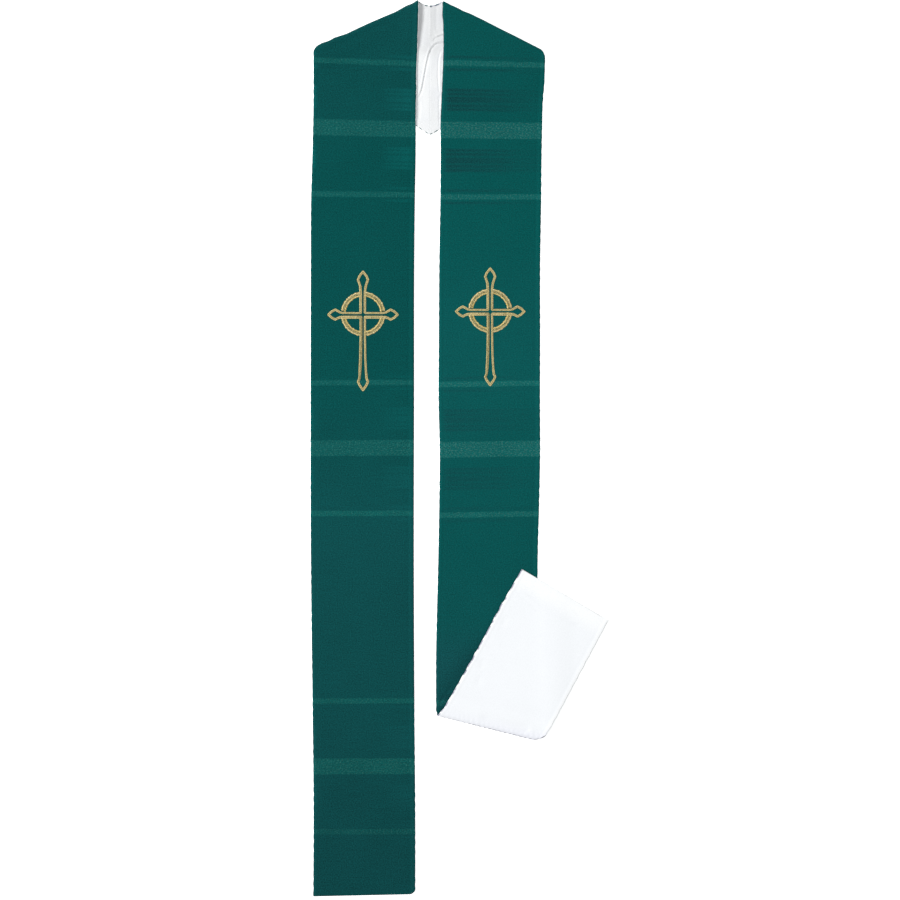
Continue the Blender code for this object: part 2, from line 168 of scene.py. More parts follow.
class Graph:
    """A material's nodes, from its coordinates to its Principled shader."""

    def __init__(self, name: str) -> None:
        """Makes a material that holds only a shader and its output.

        Args:
            name: The material's name.
        """
        self.material = bpy.data.materials.new(name)
        self.material.use_nodes = True
        self.tree = self.material.node_tree
        self.shader = self.tree.nodes["Principled BSDF"]

    def add(self, kind: str, settings: dict | None = None, sockets: dict | None = None,
            out: int | str = 0) -> Term:
        """Adds one node of any type.

        Args:
            kind: The node's type.
            settings: Its own properties, set first; stops are a ramp's (place, grey) pairs.
            sockets: Values or terms for its inputs, by name or by number.
            out: Which output is wanted.

        Returns:
            That output.
        """
        node = self.tree.nodes.new(kind)
        for key, value in (settings or {}).items():
            if key == "stops":
                self._set_stops(node.color_ramp, value)
            else:
                setattr(node, key, value)
        for key, value in (sockets or {}).items():
            if isinstance(value, Term):
                self.tree.links.new(value.socket, node.inputs[key])
            else:
                node.inputs[key].default_value = value
        return Term(self, node.outputs[out])

    @staticmethod
    def _set_stops(ramp: bpy.types.ColorRamp, stops: list[Pair]) -> None:
        """Gives a colour ramp its stops, with a smooth curve through them.

        Args:
            ramp: The ramp.
            stops: A place and a grey for each.
        """
        ramp.interpolation = "EASE"
        for place, _ in stops[1:-1]:
            ramp.elements.new(place)
        for element, (place, grey) in zip(ramp.elements, stops):
            element.position = place
            element.color = (grey, grey, grey, 1.0)

    def cloth_place(self) -> tuple[Term, Term]:
        """Reads the place on the cloth from its own UV map.

        Returns:
            Distance in millimetres across the cloth and down it.
        """
        place = self.add("ShaderNodeUVMap", {"uv_map": "cloth"})
        both = self.add("ShaderNodeSeparateXYZ", None, {0: place})
        down = Term(self, both.socket.node.outputs[1])
        return both * 1000.0, down * 1000.0

    def noise(self, across: Term, down: Term, detail: float = 2.0) -> Term:
        """Fractal noise about 0.5 on two coordinates that are already scaled.

        Args:
            across: First coordinate.
            down: Second coordinate.
            detail: The noise's octaves.

        Returns:
            The noise.
        """
        place = self.add("ShaderNodeCombineXYZ", None, {0: across, 1: down})
        sockets = {"Vector": place, "Scale": 1.0, "Detail": detail, "Roughness": 0.6}
        return self.add("ShaderNodeTexNoise", {"noise_dimensions": "2D"}, sockets)

    def spot_noise(self, scale: float, detail: float = 2.0) -> Term:
        """Fractal noise about 0.5 on Object coordinates, with so many spots a metre."""
        place = self.add("ShaderNodeTexCoord", None, None, "Object")
        return self.add("ShaderNodeTexNoise", None, {"Vector": place, "Scale": scale, "Detail": detail})

    def mix(self, share: Term, first: Term | tuple, second: Term | tuple) -> Term:
        """A colour that is the first where share is 0 and the second where it is 1."""
        return self.add("ShaderNodeMix", {"data_type": "RGBA"}, {0: share, 6: first, 7: second}, 2)

    def scaled(self, colour: Term, factor: Term) -> Term:
        """A colour times a number."""
        return self.add("ShaderNodeVectorMath", {"operation": "SCALE"}, {0: colour, "Scale": factor})

    def bump(self, height: Term, distance: float, strength: float) -> Term:
        """A normal bumped by strength, where a height of 1 stands for a distance in metres."""
        sockets = {"Height": height, "Distance": distance, "Strength": strength}
        return self.add("ShaderNodeBump", None, sockets)

    def finish(self, links: dict[str, Term], values: dict[str, float | tuple]) -> bpy.types.Material:
        """Joins terms to the shader's sockets and sets its constants.

        Args:
            links: Terms that vary over the surface, by socket name.
            values: Constants, by socket name.

        Returns:
            The finished material.
        """
        for name, value in values.items():
            self.shader.inputs[name].default_value = value
        for name, term in links.items():
            self.tree.links.new(term.socket, self.shader.inputs[name])
        return self.material


def srgb(red: int, green: int, blue: int) -> Colour:
    """A linear colour from screen values: ((c + 0.055) / 1.055) ** 2.4 above 0.04.

    Args:
        red: Red, from 0 to 255, as are green and blue.
        green: Green.
        blue: Blue.

    Returns:
        The colour, opaque.
    """
    parts = [value / 255 for value in (red, green, blue)]
    linear = [c / 12.92 if c <= 0.04045 else ((c + 0.055) / 1.055) ** 2.4 for c in parts]
    return (*linear, 1.0)


# Tables


class Share(NamedTuple):
    """How strong something is at a place."""

    place: float
    strength: float


class WovenLine(NamedTuple):
    """A line woven across the cloth: its distance from a wide stripe's middle and half width, in mm."""

    at: float
    half: float


class Section(NamedTuple):
    """A band's inner and outer edges' distance from the seam, at a distance below the neck, in mm."""

    down: float
    inner: float
    outer: float


class Lift(NamedTuple):
    """A shallow lift of an edge, in mm. across is 0 at the inner edge and 1 at the outer edge."""

    down: float
    half_length: float
    height: float
    across: float
    spread: float


class ArmPoint(NamedTuple):
    """A point of an arm's outline, in mm along the arm from the cross's centre."""

    along: float
    half_width: float


Shares = tuple[Share, ...]


def each(kind: type, *rows: tuple) -> tuple:
    """One of a kind from each row of its values."""
    return tuple(kind(*row) for row in rows)


def on_table(table: Shares, places: Array) -> Array:
    """Strengths at places, on straight lines through a table's shares."""
    return np.interp(places, *zip(*table))


# Finishes


@dataclass(frozen=True)
class FaceCloth:
    """Green cloth of one band, with pale stripes across it and fine lines that catch the light.

    Lengths are in millimetres. The stripes lie at tilt to the band, and near the shoulder, where the
    cloth is pulled, at top_tilt more and top_drift further down. slack is how much further down they
    are in the cloth's second fifth, and ragged how much they waver. sheen_across is the fine lines'
    painted sheen over the width, darker than the cloth where it is negative, and sheen_down what is
    left of it down the band; haze is a soft line round them. painted_shading_down is painted light and shade
    down the band, and shade_dull_down the share of the duller colour that goes with the painted shade.
    Fields that end in _tone say how much each cause changes the colour's strength; side_tone is painted
    light on the rolled side edges. A band that is turned up has painted shade beside the edge that lies on
    it, which runs from turned_down by turned_slope.
    """

    name: str
    first_stripe: float
    top_tilt: float
    tilt: float
    top_drift: float
    sheen_across: Shares
    # painted_shading_down paints light and shade down the band; shade_dull_down is the share of the duller
    # colour that goes with that painted shade.
    painted_shading_down: Shares
    shade_dull_down: Shares
    slack: float = 0.0
    # How dark the painted shadow beside a turned-up end's edge is.
    shaded: float = 0.0
    sheen_down: Shares = each(Share, (0, 1), (0.25, 1), (0.46, 0.55), (1, 0.3))
    turned_down: float = 984.4
    turned_slope: float = 0.568
    turned_reach: float = 32.0
    turned_start: Pair = (850.0, 905.0)
    ground: Colour = srgb(2, 79, 77)
    # Duller colour mixed in where shade and dark sheen are painted.
    dull: Colour = srgb(26, 76, 84)
    stripe: Colour = srgb(13, 92, 89)
    fleck: Colour = srgb(66, 128, 119)
    repeat: float = 438.4
    ragged: float = 1.6
    wide_half: float = 10.8
    thin: WovenLine = WovenLine(90.0, 3.6)
    stripe_soft: float = 0.9
    sheen_lines: tuple[WovenLine, ...] = each(
        WovenLine, (26.9, 1.6), (32.1, 1.6), (40.5, 3.6), (48.0, 1.7), (53.5, 1.9), (81.2, 1.9),
        (98.3, 1.8),
    )
    sheen_soft: float = 0.7
    haze: WovenLine = WovenLine(40.2, 15.0)
    pull_end: float = 420.0
    faded_down: Pair = (880.0, 1150.0)
    side: float = 10.0
    side_edge: float = 2.0
    sheen_tone: float = 2.2
    streak_tone: float = 0.26
    grain_tone: float = 1.35
    spot_tone: float = 0.16
    side_tone: float = 0.09
    warp_pitch: float = 1.05
    weft_pitch: float = 0.83
    width: float = CUT_WIDTH / MM
    length: float = 1240.0

    def _spread(self, graph: Graph, value: Term, span: float, shares: Shares) -> Term:
        """Strength at a coordinate, on a smooth ramp, which holds -1 to 1 as grey from 0 to 1.

        Args:
            graph: The material's graph.
            value: The coordinate.
            span: What a place of 1 stands for.
            shares: Strengths at places.

        Returns:
            The strength.
        """
        stops = [(place, 0.5 + 0.5 * strength) for place, strength in shares]
        grey = graph.add("ShaderNodeValToRGB", {"stops": stops}, {0: value * (1 / span)})
        return grey * 2.0 - 1.0

    def material(self) -> bpy.types.Material:
        """Builds the material: stripes by distance down the cloth, streaked along the weft, with painted
        sheen, light and shade.

        Returns:
            The material.
        """
        graph = Graph(self.name)
        across, down = graph.cloth_place()
        streak = graph.noise(across * 0.030, down * 0.75, 3.0) - 0.5
        ragged = graph.noise(across * 0.09, down * 0.02) - 0.5
        pulled = down.within(self.pull_end, -20.0)
        tilt = pulled * self.top_tilt + self.tilt
        middle = down - self.first_stripe + (across - self.width / 2) * tilt
        middle = middle - pulled * self.top_drift - down.line(240.0, 40.0, 60.0) * self.slack
        middle = middle + ragged * self.ragged
        away = abs(middle.wrapped(self.repeat))
        fleck = graph.noise(across * 0.38, down * 0.78).within(0.50, 0.70)
        wide = away.line(0.0, self.wide_half, self.stripe_soft)
        thin = away.line(*self.thin, self.stripe_soft)
        sheen = away.line(*self.sheen_lines[0], self.sheen_soft)
        for line in self.sheen_lines[1:]:
            sheen = sheen + away.line(*line, self.sheen_soft)
        sheen = sheen * 0.72 + away.line(*self.haze, 2.0) * 0.42
        sheen = sheen * self._spread(graph, across, self.width, self.sheen_across)
        sheen = sheen * self._spread(graph, down, self.length, self.sheen_down)
        # Painted sheen of the fine lines, and painted light and shade down the band.
        tone = 1.0 + sheen * self.sheen_tone + self._spread(graph, down, self.length, self.painted_shading_down)
        grain = graph.noise(across * 0.62, down * 0.8) - 0.5
        # Painted light on the rolled side edges.
        sides = across.within(self.side, self.side_edge)
        sides = sides + across.within(self.width - self.side, self.width - self.side_edge)
        tone = tone + streak * self.streak_tone + grain * self.grain_tone
        tone = tone + (graph.spot_noise(9.0) - 0.5) * self.spot_tone + sides * self.side_tone
        # Painted shadow beside the edge of a turned-up end that lies on the band.
        beside = (self.turned_down - down) * self.turned_slope - across
        beside = beside.within(self.turned_reach, 0.0) * down.within(*self.turned_start)
        tone = tone - beside * self.shaded
        # The duller colour goes with the painted shade down the band and with the dark lines of painted
        # sheen.
        dull = self._spread(graph, down, self.length, self.shade_dull_down) - sheen.at_most(0.0) * 2.6
        colour = graph.mix(dull, self.ground, self.dull)
        colour = graph.mix(wide * (0.8 + streak * 0.8), colour, self.stripe)
        faded = 1.0 - down.within(*self.faded_down) * 0.5
        colour = graph.mix(thin * (0.88 + streak * 0.8) * faded, colour, self.stripe)
        colour = graph.mix(fleck * (wide * 0.40 + thin * 0.28 + 0.03), colour, self.fleck)
        weave = across.wave(self.warp_pitch) * down.wave(self.weft_pitch)
        height = weave * 0.22 + streak * 0.9 + fleck * 0.18
        links = {
            "Base Color": graph.scaled(colour, tone),
            "Normal": graph.bump(height, 0.00035, 0.5),
            "Roughness": 0.78 + streak * 0.12,
        }
        return graph.finish(links, {"Specular IOR Level": 0.04})


@dataclass(frozen=True)
class LiningCloth:
    """Smooth white lining with a fine twill and a soft sheen.

    Lengths are in millimetres. The back of the neck has painted shade, more above top_end. A turned_up
    lining is warm and lighter beside its hem and its sides, where light is painted, cool over the rest,
    and has a blue-grey painted shade along its fold. Its inner side has painted shade here and there
    between its scallops. It has fine dark lines of painted shade: short ones along its fold, the shadows
    of the puckers where the stitches pull it in, one along its outer side and one along its hem. fold and
    hem each hold where a line is at the inner side, and its slope. Another lining's rim, where it shows
    past the face cloth, is duller, with painted shade. Fields that end in _shade say how dark a line or
    part is, or how light where negative.
    """

    name: str
    turned_up: bool
    light: Colour = srgb(250, 252, 253)
    cool: Colour = srgb(240, 243, 248)
    flat: Colour = srgb(244, 247, 250)
    # Tint of the painted shade along a turned-up end's fold.
    fold_shade_tint: Colour = srgb(228, 228, 242)
    # rim and fringe are painted shade: on a rim that shows past the face cloth, and between the scallops of
    # the inner side.
    rim: Colour = srgb(205, 186, 189)
    fringe: Colour = srgb(146, 143, 166)
    back_shade: float = 0.14
    top_shade: float = 0.10
    top_end: float = 57.0
    top_soft: float = 7.0
    slope_shade: float = -0.038
    fold_shade: float = 0.02
    inner_shade: float = 0.014
    side_shade: float = 0.34
    hem_shade: float = 0.22
    fringe_shade: float = 0.85
    grain: float = 0.09
    twill: float = 1.15
    twill_slant: float = 0.55
    fold: Pair = (979.3, 0.2613)
    hem: Pair = (1219.7, -0.040)
    stitch_pitch: float = 6.9
    width: float = CUT_WIDTH / MM

    def _from_ends(self, across: Term, down: Term) -> tuple[Term, Term]:
        """Distance down the cloth from the fold and from the hem."""
        fold, hem = (down - across * slope - start for start, slope in (self.fold, self.hem))
        return fold, hem

    def _turned_up(self, across: Term, down: Term, colour: Term, graph: Graph) -> Term:
        """The colour over a turned-up end, with its painted light and shade.

        Args:
            across: Distance across the cloth.
            down: Distance down it.
            colour: Its colour elsewhere.
            graph: The material's graph.

        Returns:
            The colour.
        """
        fold, hem = self._from_ends(across, down)
        past_fold = -2.0, 4.0
        # middle is all but the sides and the hem's strip; past the fold the end is lighter and warmer beside
        # them, as painted light.
        middle = across.within(1.0, 6.0) * across.within(self.width - 1.0, self.width - 6.0)
        middle = middle * fold.within(*past_fold) * hem.within(-10.0, -32.0)
        colour = graph.mix(fold.within(*past_fold), colour, self.light)
        colour = graph.mix(middle, colour, self.flat)
        # Painted light over the slope where the end falls past the band, and painted shade towards the fold
        # and the inner side.
        slope = (across + (down - 1100.0) * 0.5).line(114.0, 16.0, 26.0) * -self.slope_shade
        duller = fold.within(80.0, 0.0) * self.fold_shade
        duller = duller + across.within(60.0, 10.0) * self.inner_shade
        colour = graph.scaled(colour, 1.0 + slope - duller)
        # Blue-grey painted shade along the fold.
        soft = fold.line(4.0, 3.0, 20.0) * (across.within(10.0, 120.0) * 0.6 + 0.4)
        colour = graph.mix(soft, colour, self.fold_shade_tint)
        # Painted shade between the scallops of the inner side.
        patches = graph.noise(down * 0.11, down * 0.02).within(0.42, 0.58)
        return graph.mix(across.within(2.0, 1.0) * patches * self.fringe_shade, colour, self.fringe)

    def _end_lines(self, across: Term, down: Term) -> Term:
        """Darkness of the turned-up end's fine lines of painted shade.

        Args:
            across: Distance across the cloth.
            down: Distance down it.

        Returns:
            The darkness.
        """
        fold, hem = self._from_ends(across, down)
        # Painted shadows: dashes of the puckers along the fold at the stitches' pitch, and lines along the
        # outer side and the hem.
        pulled = (across + (across * 0.11).wave(1.0) * 0.8).wave(self.stitch_pitch).within(-0.5, 0.4)
        reach = across.within(20.0, 60.0)
        stitches = fold.line(6.4, 1.5, 0.5) * (pulled * 0.55 + 0.12) * (reach * 0.4 + 0.6)
        side = across.within(self.width - 1.0, self.width - 0.4) * fold.within(4.0, 9.0)
        return stitches + side * self.side_shade + hem.within(-1.1, -0.5) * self.hem_shade

    def material(self) -> bpy.types.Material:
        """Builds the material: two close whites by a large noise, with a twill line in the bump.

        Returns:
            The material.
        """
        graph = Graph(self.name)
        across, down = graph.cloth_place()
        mottle = graph.spot_noise(38.0, 3.0)
        slub = graph.noise(across * 0.9, down * 0.06) - 0.5
        grain = graph.noise(across * 0.62, down * 0.62, 1.0) - 0.5
        colour = graph.mix(mottle.within(0.35, 0.78) * 0.35, self.light, self.cool)
        above = across.within(self.top_end + self.top_soft, self.top_end - self.top_soft)
        shade = (above * self.top_shade + self.back_shade) * down.within(-2.0, -9.0)
        if self.turned_up:
            colour = self._turned_up(across, down, colour, graph)
            shade = shade + self._end_lines(across, down)
        else:
            # Painted shade on the rim that shows past the face cloth.
            colour = graph.mix(across.within(1.6, 0.6) * down.within(190.0, 230.0), colour, self.rim)
        colour = graph.scaled(colour, 1.0 + slub * 0.03 + grain * self.grain - shade)
        line = (across + down * self.twill_slant).wave(self.twill)
        links = {
            "Base Color": colour,
            "Normal": graph.bump(line * 0.3 + slub * 0.9 + mottle * 0.8, 0.00025, 0.35),
            "Roughness": 0.46 + slub * 0.10,
        }
        return graph.finish(links, {"Specular IOR Level": 0.12})


@dataclass(frozen=True)
class GoldThread:
    """Satin-stitched gold thread. A row's own map runs across it from its middle, and along it, in mm.

    The ring is mapped ring_aside away from the line round the arms, so that it can be darker inside. Both
    have a pale row along each side, and the ring's inner one is yellower. Between their rows both are
    olive, partly with the thread's own dark specks and partly with painted shade in the split, and their
    edges and the gaps between threads are painted darker as shade. The line's row beside the slit is
    painted duller, as shade. Between the two dulled places along it, which is down the foot's left side,
    the line is duller. thread is the threads' pitch, and slant how far they lean.
    """

    name: str = "gold_thread"
    pale: Colour = srgb(235, 212, 144)
    yellow: Colour = srgb(230, 200, 102)
    cream: Colour = srgb(255, 248, 214)
    dull: Colour = srgb(168, 153, 96)
    olive: Colour = srgb(74, 74, 34)
    ring_aside: float = 20.0
    dulled: Pair = (207.0, 306.0)
    dulled_soft: float = 5.0
    thread: float = 0.62
    slant: float = 0.9

    def material(self) -> bpy.types.Material:
        """Builds the material: pale threads along the sides, duller and specked with olive between, with
        painted shade in the split, at the edges and between threads.

        Returns:
            The material.
        """
        graph = Graph(self.name)
        across, along = graph.cloth_place()
        ring = across.within(self.ring_aside / 2, self.ring_aside / 2 + 1.0)
        line = 1.0 - ring
        aside = across - ring * self.ring_aside
        off = abs(aside)
        strand = (along + aside * self.slant).wave(self.thread)
        uneven = graph.noise(across * 0.6, along * 1.1) - 0.5
        worn = graph.noise(across * 0.09, along * 0.07).within(0.40, 0.62)
        outer = aside.within(-0.3, 0.3)
        start, end = self.dulled
        dulled = along.within(start, start + self.dulled_soft)
        dulled = dulled * along.within(end, end - self.dulled_soft) * line
        # The line's row beside the slit is painted duller, as shade; the outer row stays paler.
        rows = off.within(1.85, 1.35) * line * (outer * 0.3 + 0.7) + off.line(2.3, 0.5, 0.6) * ring
        rows = rows * (1.0 - dulled * (0.9 - outer * 0.45))
        gold = graph.mix(ring * aside.within(0.0, -1.2) * 0.8, self.pale, self.yellow)
        gold = graph.mix((rows * (1.15 - worn * 0.35) + uneven * 0.9).at_most(1.0), self.dull, gold)
        glint = graph.noise(across * 0.8 + 7.0, along * 0.9, 0.0).within(0.56, 0.70)
        gold = graph.mix(glint * 0.35, gold, self.cream)
        # Olive between the rows: partly the thread's own dark specks, partly painted shade in the split.
        specks = graph.noise(across * 0.9, along * 0.75, 0.0).within(0.50, 0.62)
        middle = off.within(0.95, 0.25) * line * (specks * 0.50 + 0.38)
        middle = middle + off.within(1.8, 1.2) * ring * specks * 0.85
        # Painted shade along the edges and in the gaps between threads.
        edge = off.within(1.55, 1.95) * line * 0.40 + off.within(2.9, 3.3) * 0.45 * ring
        dark = (middle + edge + (0.5 - strand * 0.5) * 0.12).at_most(1.0)
        colour = graph.scaled(graph.mix(dark, gold, self.olive), 1.0 + uneven * 0.7 + strand * 0.10)
        links = {
            "Base Color": colour,
            "Normal": graph.bump(strand + uneven, 0.00012, 0.6),
            "Roughness": 0.44 + uneven * 0.16,
        }
        values = {
            "Metallic": 0.12,
            "Specular IOR Level": 0.45,
            "Sheen Weight": 0.12,
            "Sheen Roughness": 0.35,
            "Sheen Tint": (1.0, 0.86, 0.6, 1.0),
        }
        return graph.finish(links, values)


@dataclass(frozen=True)
class PaleFloor:
    """Plain white surface, a little brighter than the light alone makes it."""

    name: str = "floor"
    colour: Colour = (0.92, 0.92, 0.92, 1.0)
    glow: float = 0.62

    def material(self) -> bpy.types.Material:
        """Builds the plain material, with a small glow.

        Returns:
            The material.
        """
        values = {
            "Base Color": self.colour,
            "Roughness": 0.9,
            "Specular IOR Level": 0.0,
            "Emission Color": WHITE,
            "Emission Strength": self.glow,
        }
        return Graph(self.name).finish({}, values)


class Slot(Enum):
    """The record's material slots."""

    FACE_CLOTH = "face_cloth"
    LINING = "lining"
    GOLD_THREAD = "gold_thread"


# Plan shapes, in the garment's coordinates


def ease(value: Array) -> Array:
    """0 below 0 and 1 above 1, with a smooth step t * t * (3 - 2 * t) between."""
    value = np.clip(value, 0.0, 1.0)
    return value * value * (3.0 - 2.0 * value)


def ramp(value: Array, start: float, length: float) -> Array:
    """0 up to a start and 1 a length further on, with a smooth step between."""
    return ease((value - start) / length)


def fade(distance: Array, reach: float) -> Array:
    """1 at no distance, falling smoothly to 0 at the reach."""
    return 1 - ease(distance / reach)


def blend(share: Array, there: Array, here: Array) -> Array:
    """Two rows of values: there where the share is 1, and here where it is 0."""
    return share * np.reshape(there, (2, -1)) + (1 - share) * np.reshape(here, (2, -1))


def hump(value: Array) -> Array:
    """A bell exp(-value ** 2): 1 at 0 and next to nothing past 2."""
    return np.exp(-np.square(value))


def unit(vector: Array) -> Array:
    """The same direction with length 1."""
    return vector / np.linalg.norm(vector)


def up_square(along: Array) -> Array:
    """The direction square to another in plan, on its upper side."""
    square = np.array([-along[1], along[0]])
    return square if square[1] > 0 else -square


def lengths_along(path: Array) -> Array:
    """How far along a path each of its points is: 0, then a running sum of the steps' lengths."""
    steps = np.linalg.norm(np.diff(path, axis=0), axis=-1)
    return np.concatenate([np.zeros((1, *steps.shape[1:])), np.cumsum(steps, axis=0)])


class Crease(NamedTuple):
    """A ridge, or a trough where height is negative, along a path of (x, down) points in mm.

    half is its half width. taper is the share of its length over which it fades at either end.
    """

    path: tuple[Pair, ...]
    height: float
    half: float
    taper: float = 0.25

    def relief(self, points: Array) -> Array:
        """Height in metres at plan points: a bell of the distance to the path, faded at its two ends.

        Args:
            points: Plan points, as an array whose last axis is x and y.

        Returns:
            The height at each point.
        """
        path = np.array(self.path) * np.array([MM, -MM])
        starts = lengths_along(path)
        nearest = np.full(points.shape[:-1], np.inf)
        travelled = np.zeros_like(nearest)
        for start, end, before, after in zip(path, path[1:], starts, starts[1:]):
            ahead = unit(end - start)
            reach = np.clip((points - start) @ ahead, 0.0, after - before)
            distance = np.linalg.norm(points - start - reach[..., None] * ahead, axis=-1)
            travelled = np.where(distance < nearest, before + reach, travelled)
            nearest = np.minimum(nearest, distance)
        share = travelled / starts[-1]
        ends = ease(share / self.taper) * ease((1 - share) / self.taper)
        return self.height * hump(nearest / (self.half * MM)) * MM * ends


def relief_of(creases: tuple[Crease, ...], points: Array) -> Array:
    """Height in metres of several creases together at plan points."""
    return sum(crease.relief(points) for crease in creases)


@dataclass(frozen=True)
class Roll:
    """A fold seen from its end, in metres.

    It is a half turn that goes on past flat by settle_angle, a straight slope, and a wide arc that
    brings the upper layer level again, STACK above the lower one.
    """

    radius: float
    settle_angle: float
    settle_radius: float
    corner_pull: float

    @property
    def lengths(self) -> Array:
        """Arc lengths from the start of the roll.

        Returns:
            Those of the end of the turn, of the slope and of the settling arc.
        """
        drop = self.radius * (1 + math.cos(self.settle_angle)) - STACK
        drop -= self.settle_radius * (1 - math.cos(self.settle_angle))
        turn = self.radius * (math.pi + self.settle_angle)
        slope = drop / math.sin(self.settle_angle)
        return np.cumsum([turn, slope, self.settle_radius * self.settle_angle])

    def at(self, along: Array) -> tuple[Array, Array, Array]:
        """Places the roll's middle surface: a circle, then a straight line, then a wide circle.

        Args:
            along: Arc lengths from the roll's start.

        Returns:
            Outward distance, height and turn at each.
        """
        turned, sloped, _ = self.lengths
        full_turn = math.pi + self.settle_angle
        turn = np.minimum(along / self.radius, full_turn)
        out = self.radius * np.sin(turn)
        rise = self.radius * (1 - np.cos(turn))
        slope = np.clip(along - turned, 0.0, sloped - turned)
        out = out - slope * math.cos(self.settle_angle)
        rise = rise - slope * math.sin(self.settle_angle)
        settled = np.maximum(along - sloped, 0.0)
        wide = along > sloped
        turn = np.where(wide, np.maximum(math.pi, full_turn - settled / self.settle_radius), turn)
        out = out + wide * self.settle_radius * (math.sin(full_turn) - np.sin(turn))
        rise = rise + wide * self.settle_radius * (np.cos(turn) - math.cos(full_turn))
        return out, rise, turn

    def stations(self, arc_step: float, slope_step: float) -> Array:
        """Arc lengths of rows across the roll.

        Args:
            arc_step: The distance between rows round the turn.
            slope_step: That between rows after it.

        Returns:
            The arc lengths.
        """
        turned, _, settled = self.lengths
        arc = np.linspace(0.0, turned, round(turned / arc_step) + 1)
        rest = np.linspace(turned, settled, round((settled - turned) / slope_step) + 1)
        return np.concatenate([arc, rest[1:]])

    def rows(self, origin: Array, along_fold: Array, away: Array, along: Array,
             slid: tuple[Array, Array], **lay: Array) -> "Rows":
        """Rows round the roll.

        Args:
            origin: Plan point that the fold starts from.
            along_fold: The fold's direction, from the inner to the outer side.
            away: The direction square to it, out of the fold.
            along: Arc lengths of the rows.
            slid: How far along the fold each row's inner and outer end is.
            lay: What else the rows hold.

        Returns:
            The rows, with their outer corner pulled in, most a quarter turn round.
        """
        out, rise, turn = self.at(along)
        pull = self.corner_pull * hump(along / self.radius - math.pi / 2)
        ends = (origin + np.outer(out, away) + np.outer(s, along_fold) for s in (slid[0], slid[1] - pull))
        return Rows(*ends, away, rise, turn, **lay)


def upper_share(turn: Array) -> Array:
    """0 through the first two thirds of a half turn, rising to 1 where the upper layer is level."""
    return ease(3 * turn / math.pi - 2)


@dataclass
class Rows:
    """Rows that run across a band from its inner to its outer edge, as arrays with one entry a row.

    away, rise and turn place a row on a roll, and face is 1 where the face cloth is on the roll's
    outside. tuck is how far its outer corner is tucked in. on_back, on_front and on_flap are how far the
    row follows the height of the back that it covers, the front's lifts and the turned-up end's fall.
    """

    inner: Array
    outer: Array
    away: Array
    rise: Array = 0.0
    turn: Array = 0.0
    face: Array = 1.0
    tuck: Array = 0.0
    on_back: Array = 0.0
    on_front: Array = 0.0
    on_flap: Array = 0.0

    def __post_init__(self) -> None:
        """Gives every row its own entry of each value."""
        for name, value in vars(self).items():
            shape = (len(self), 2) if name in ("inner", "outer", "away") else len(self)
            setattr(self, name, np.broadcast_to(np.asarray(value, float), shape))

    def __len__(self) -> int:
        """How many rows there are."""
        return len(self.inner)

    def __getitem__(self, part: slice) -> "Rows":
        """Some of the rows."""
        return Rows(*(value[part] for value in vars(self).values()))

    @staticmethod
    def joined(parts: list["Rows"]) -> "Rows":
        """All the rows of several parts, in order."""
        return Rows(*map(np.concatenate, zip(*(vars(part).values() for part in parts))))

    @property
    def width(self) -> Array:
        """Each row's width, as a column."""
        return np.linalg.norm(self.outer - self.inner, axis=1)[:, None]


# Bands


@dataclass(frozen=True)
class Spacing:
    """Distance between rows along a band, in metres, and how they lie at the back of the neck.

    near and far are the numbers of rows in the first back_near of the back and in the rest of it.
    """

    front: float
    arc: float
    slope: float
    flap: float
    near: int
    far: int
    back_near: float = 0.21

    @property
    def back_shares(self) -> Array:
        """Shares of the way from the seam to the shoulder, close together next to the seam."""
        near = np.linspace(0.0, self.back_near, self.near, endpoint=False)
        return np.concatenate([near, np.linspace(self.back_near, 1.0, self.far)])


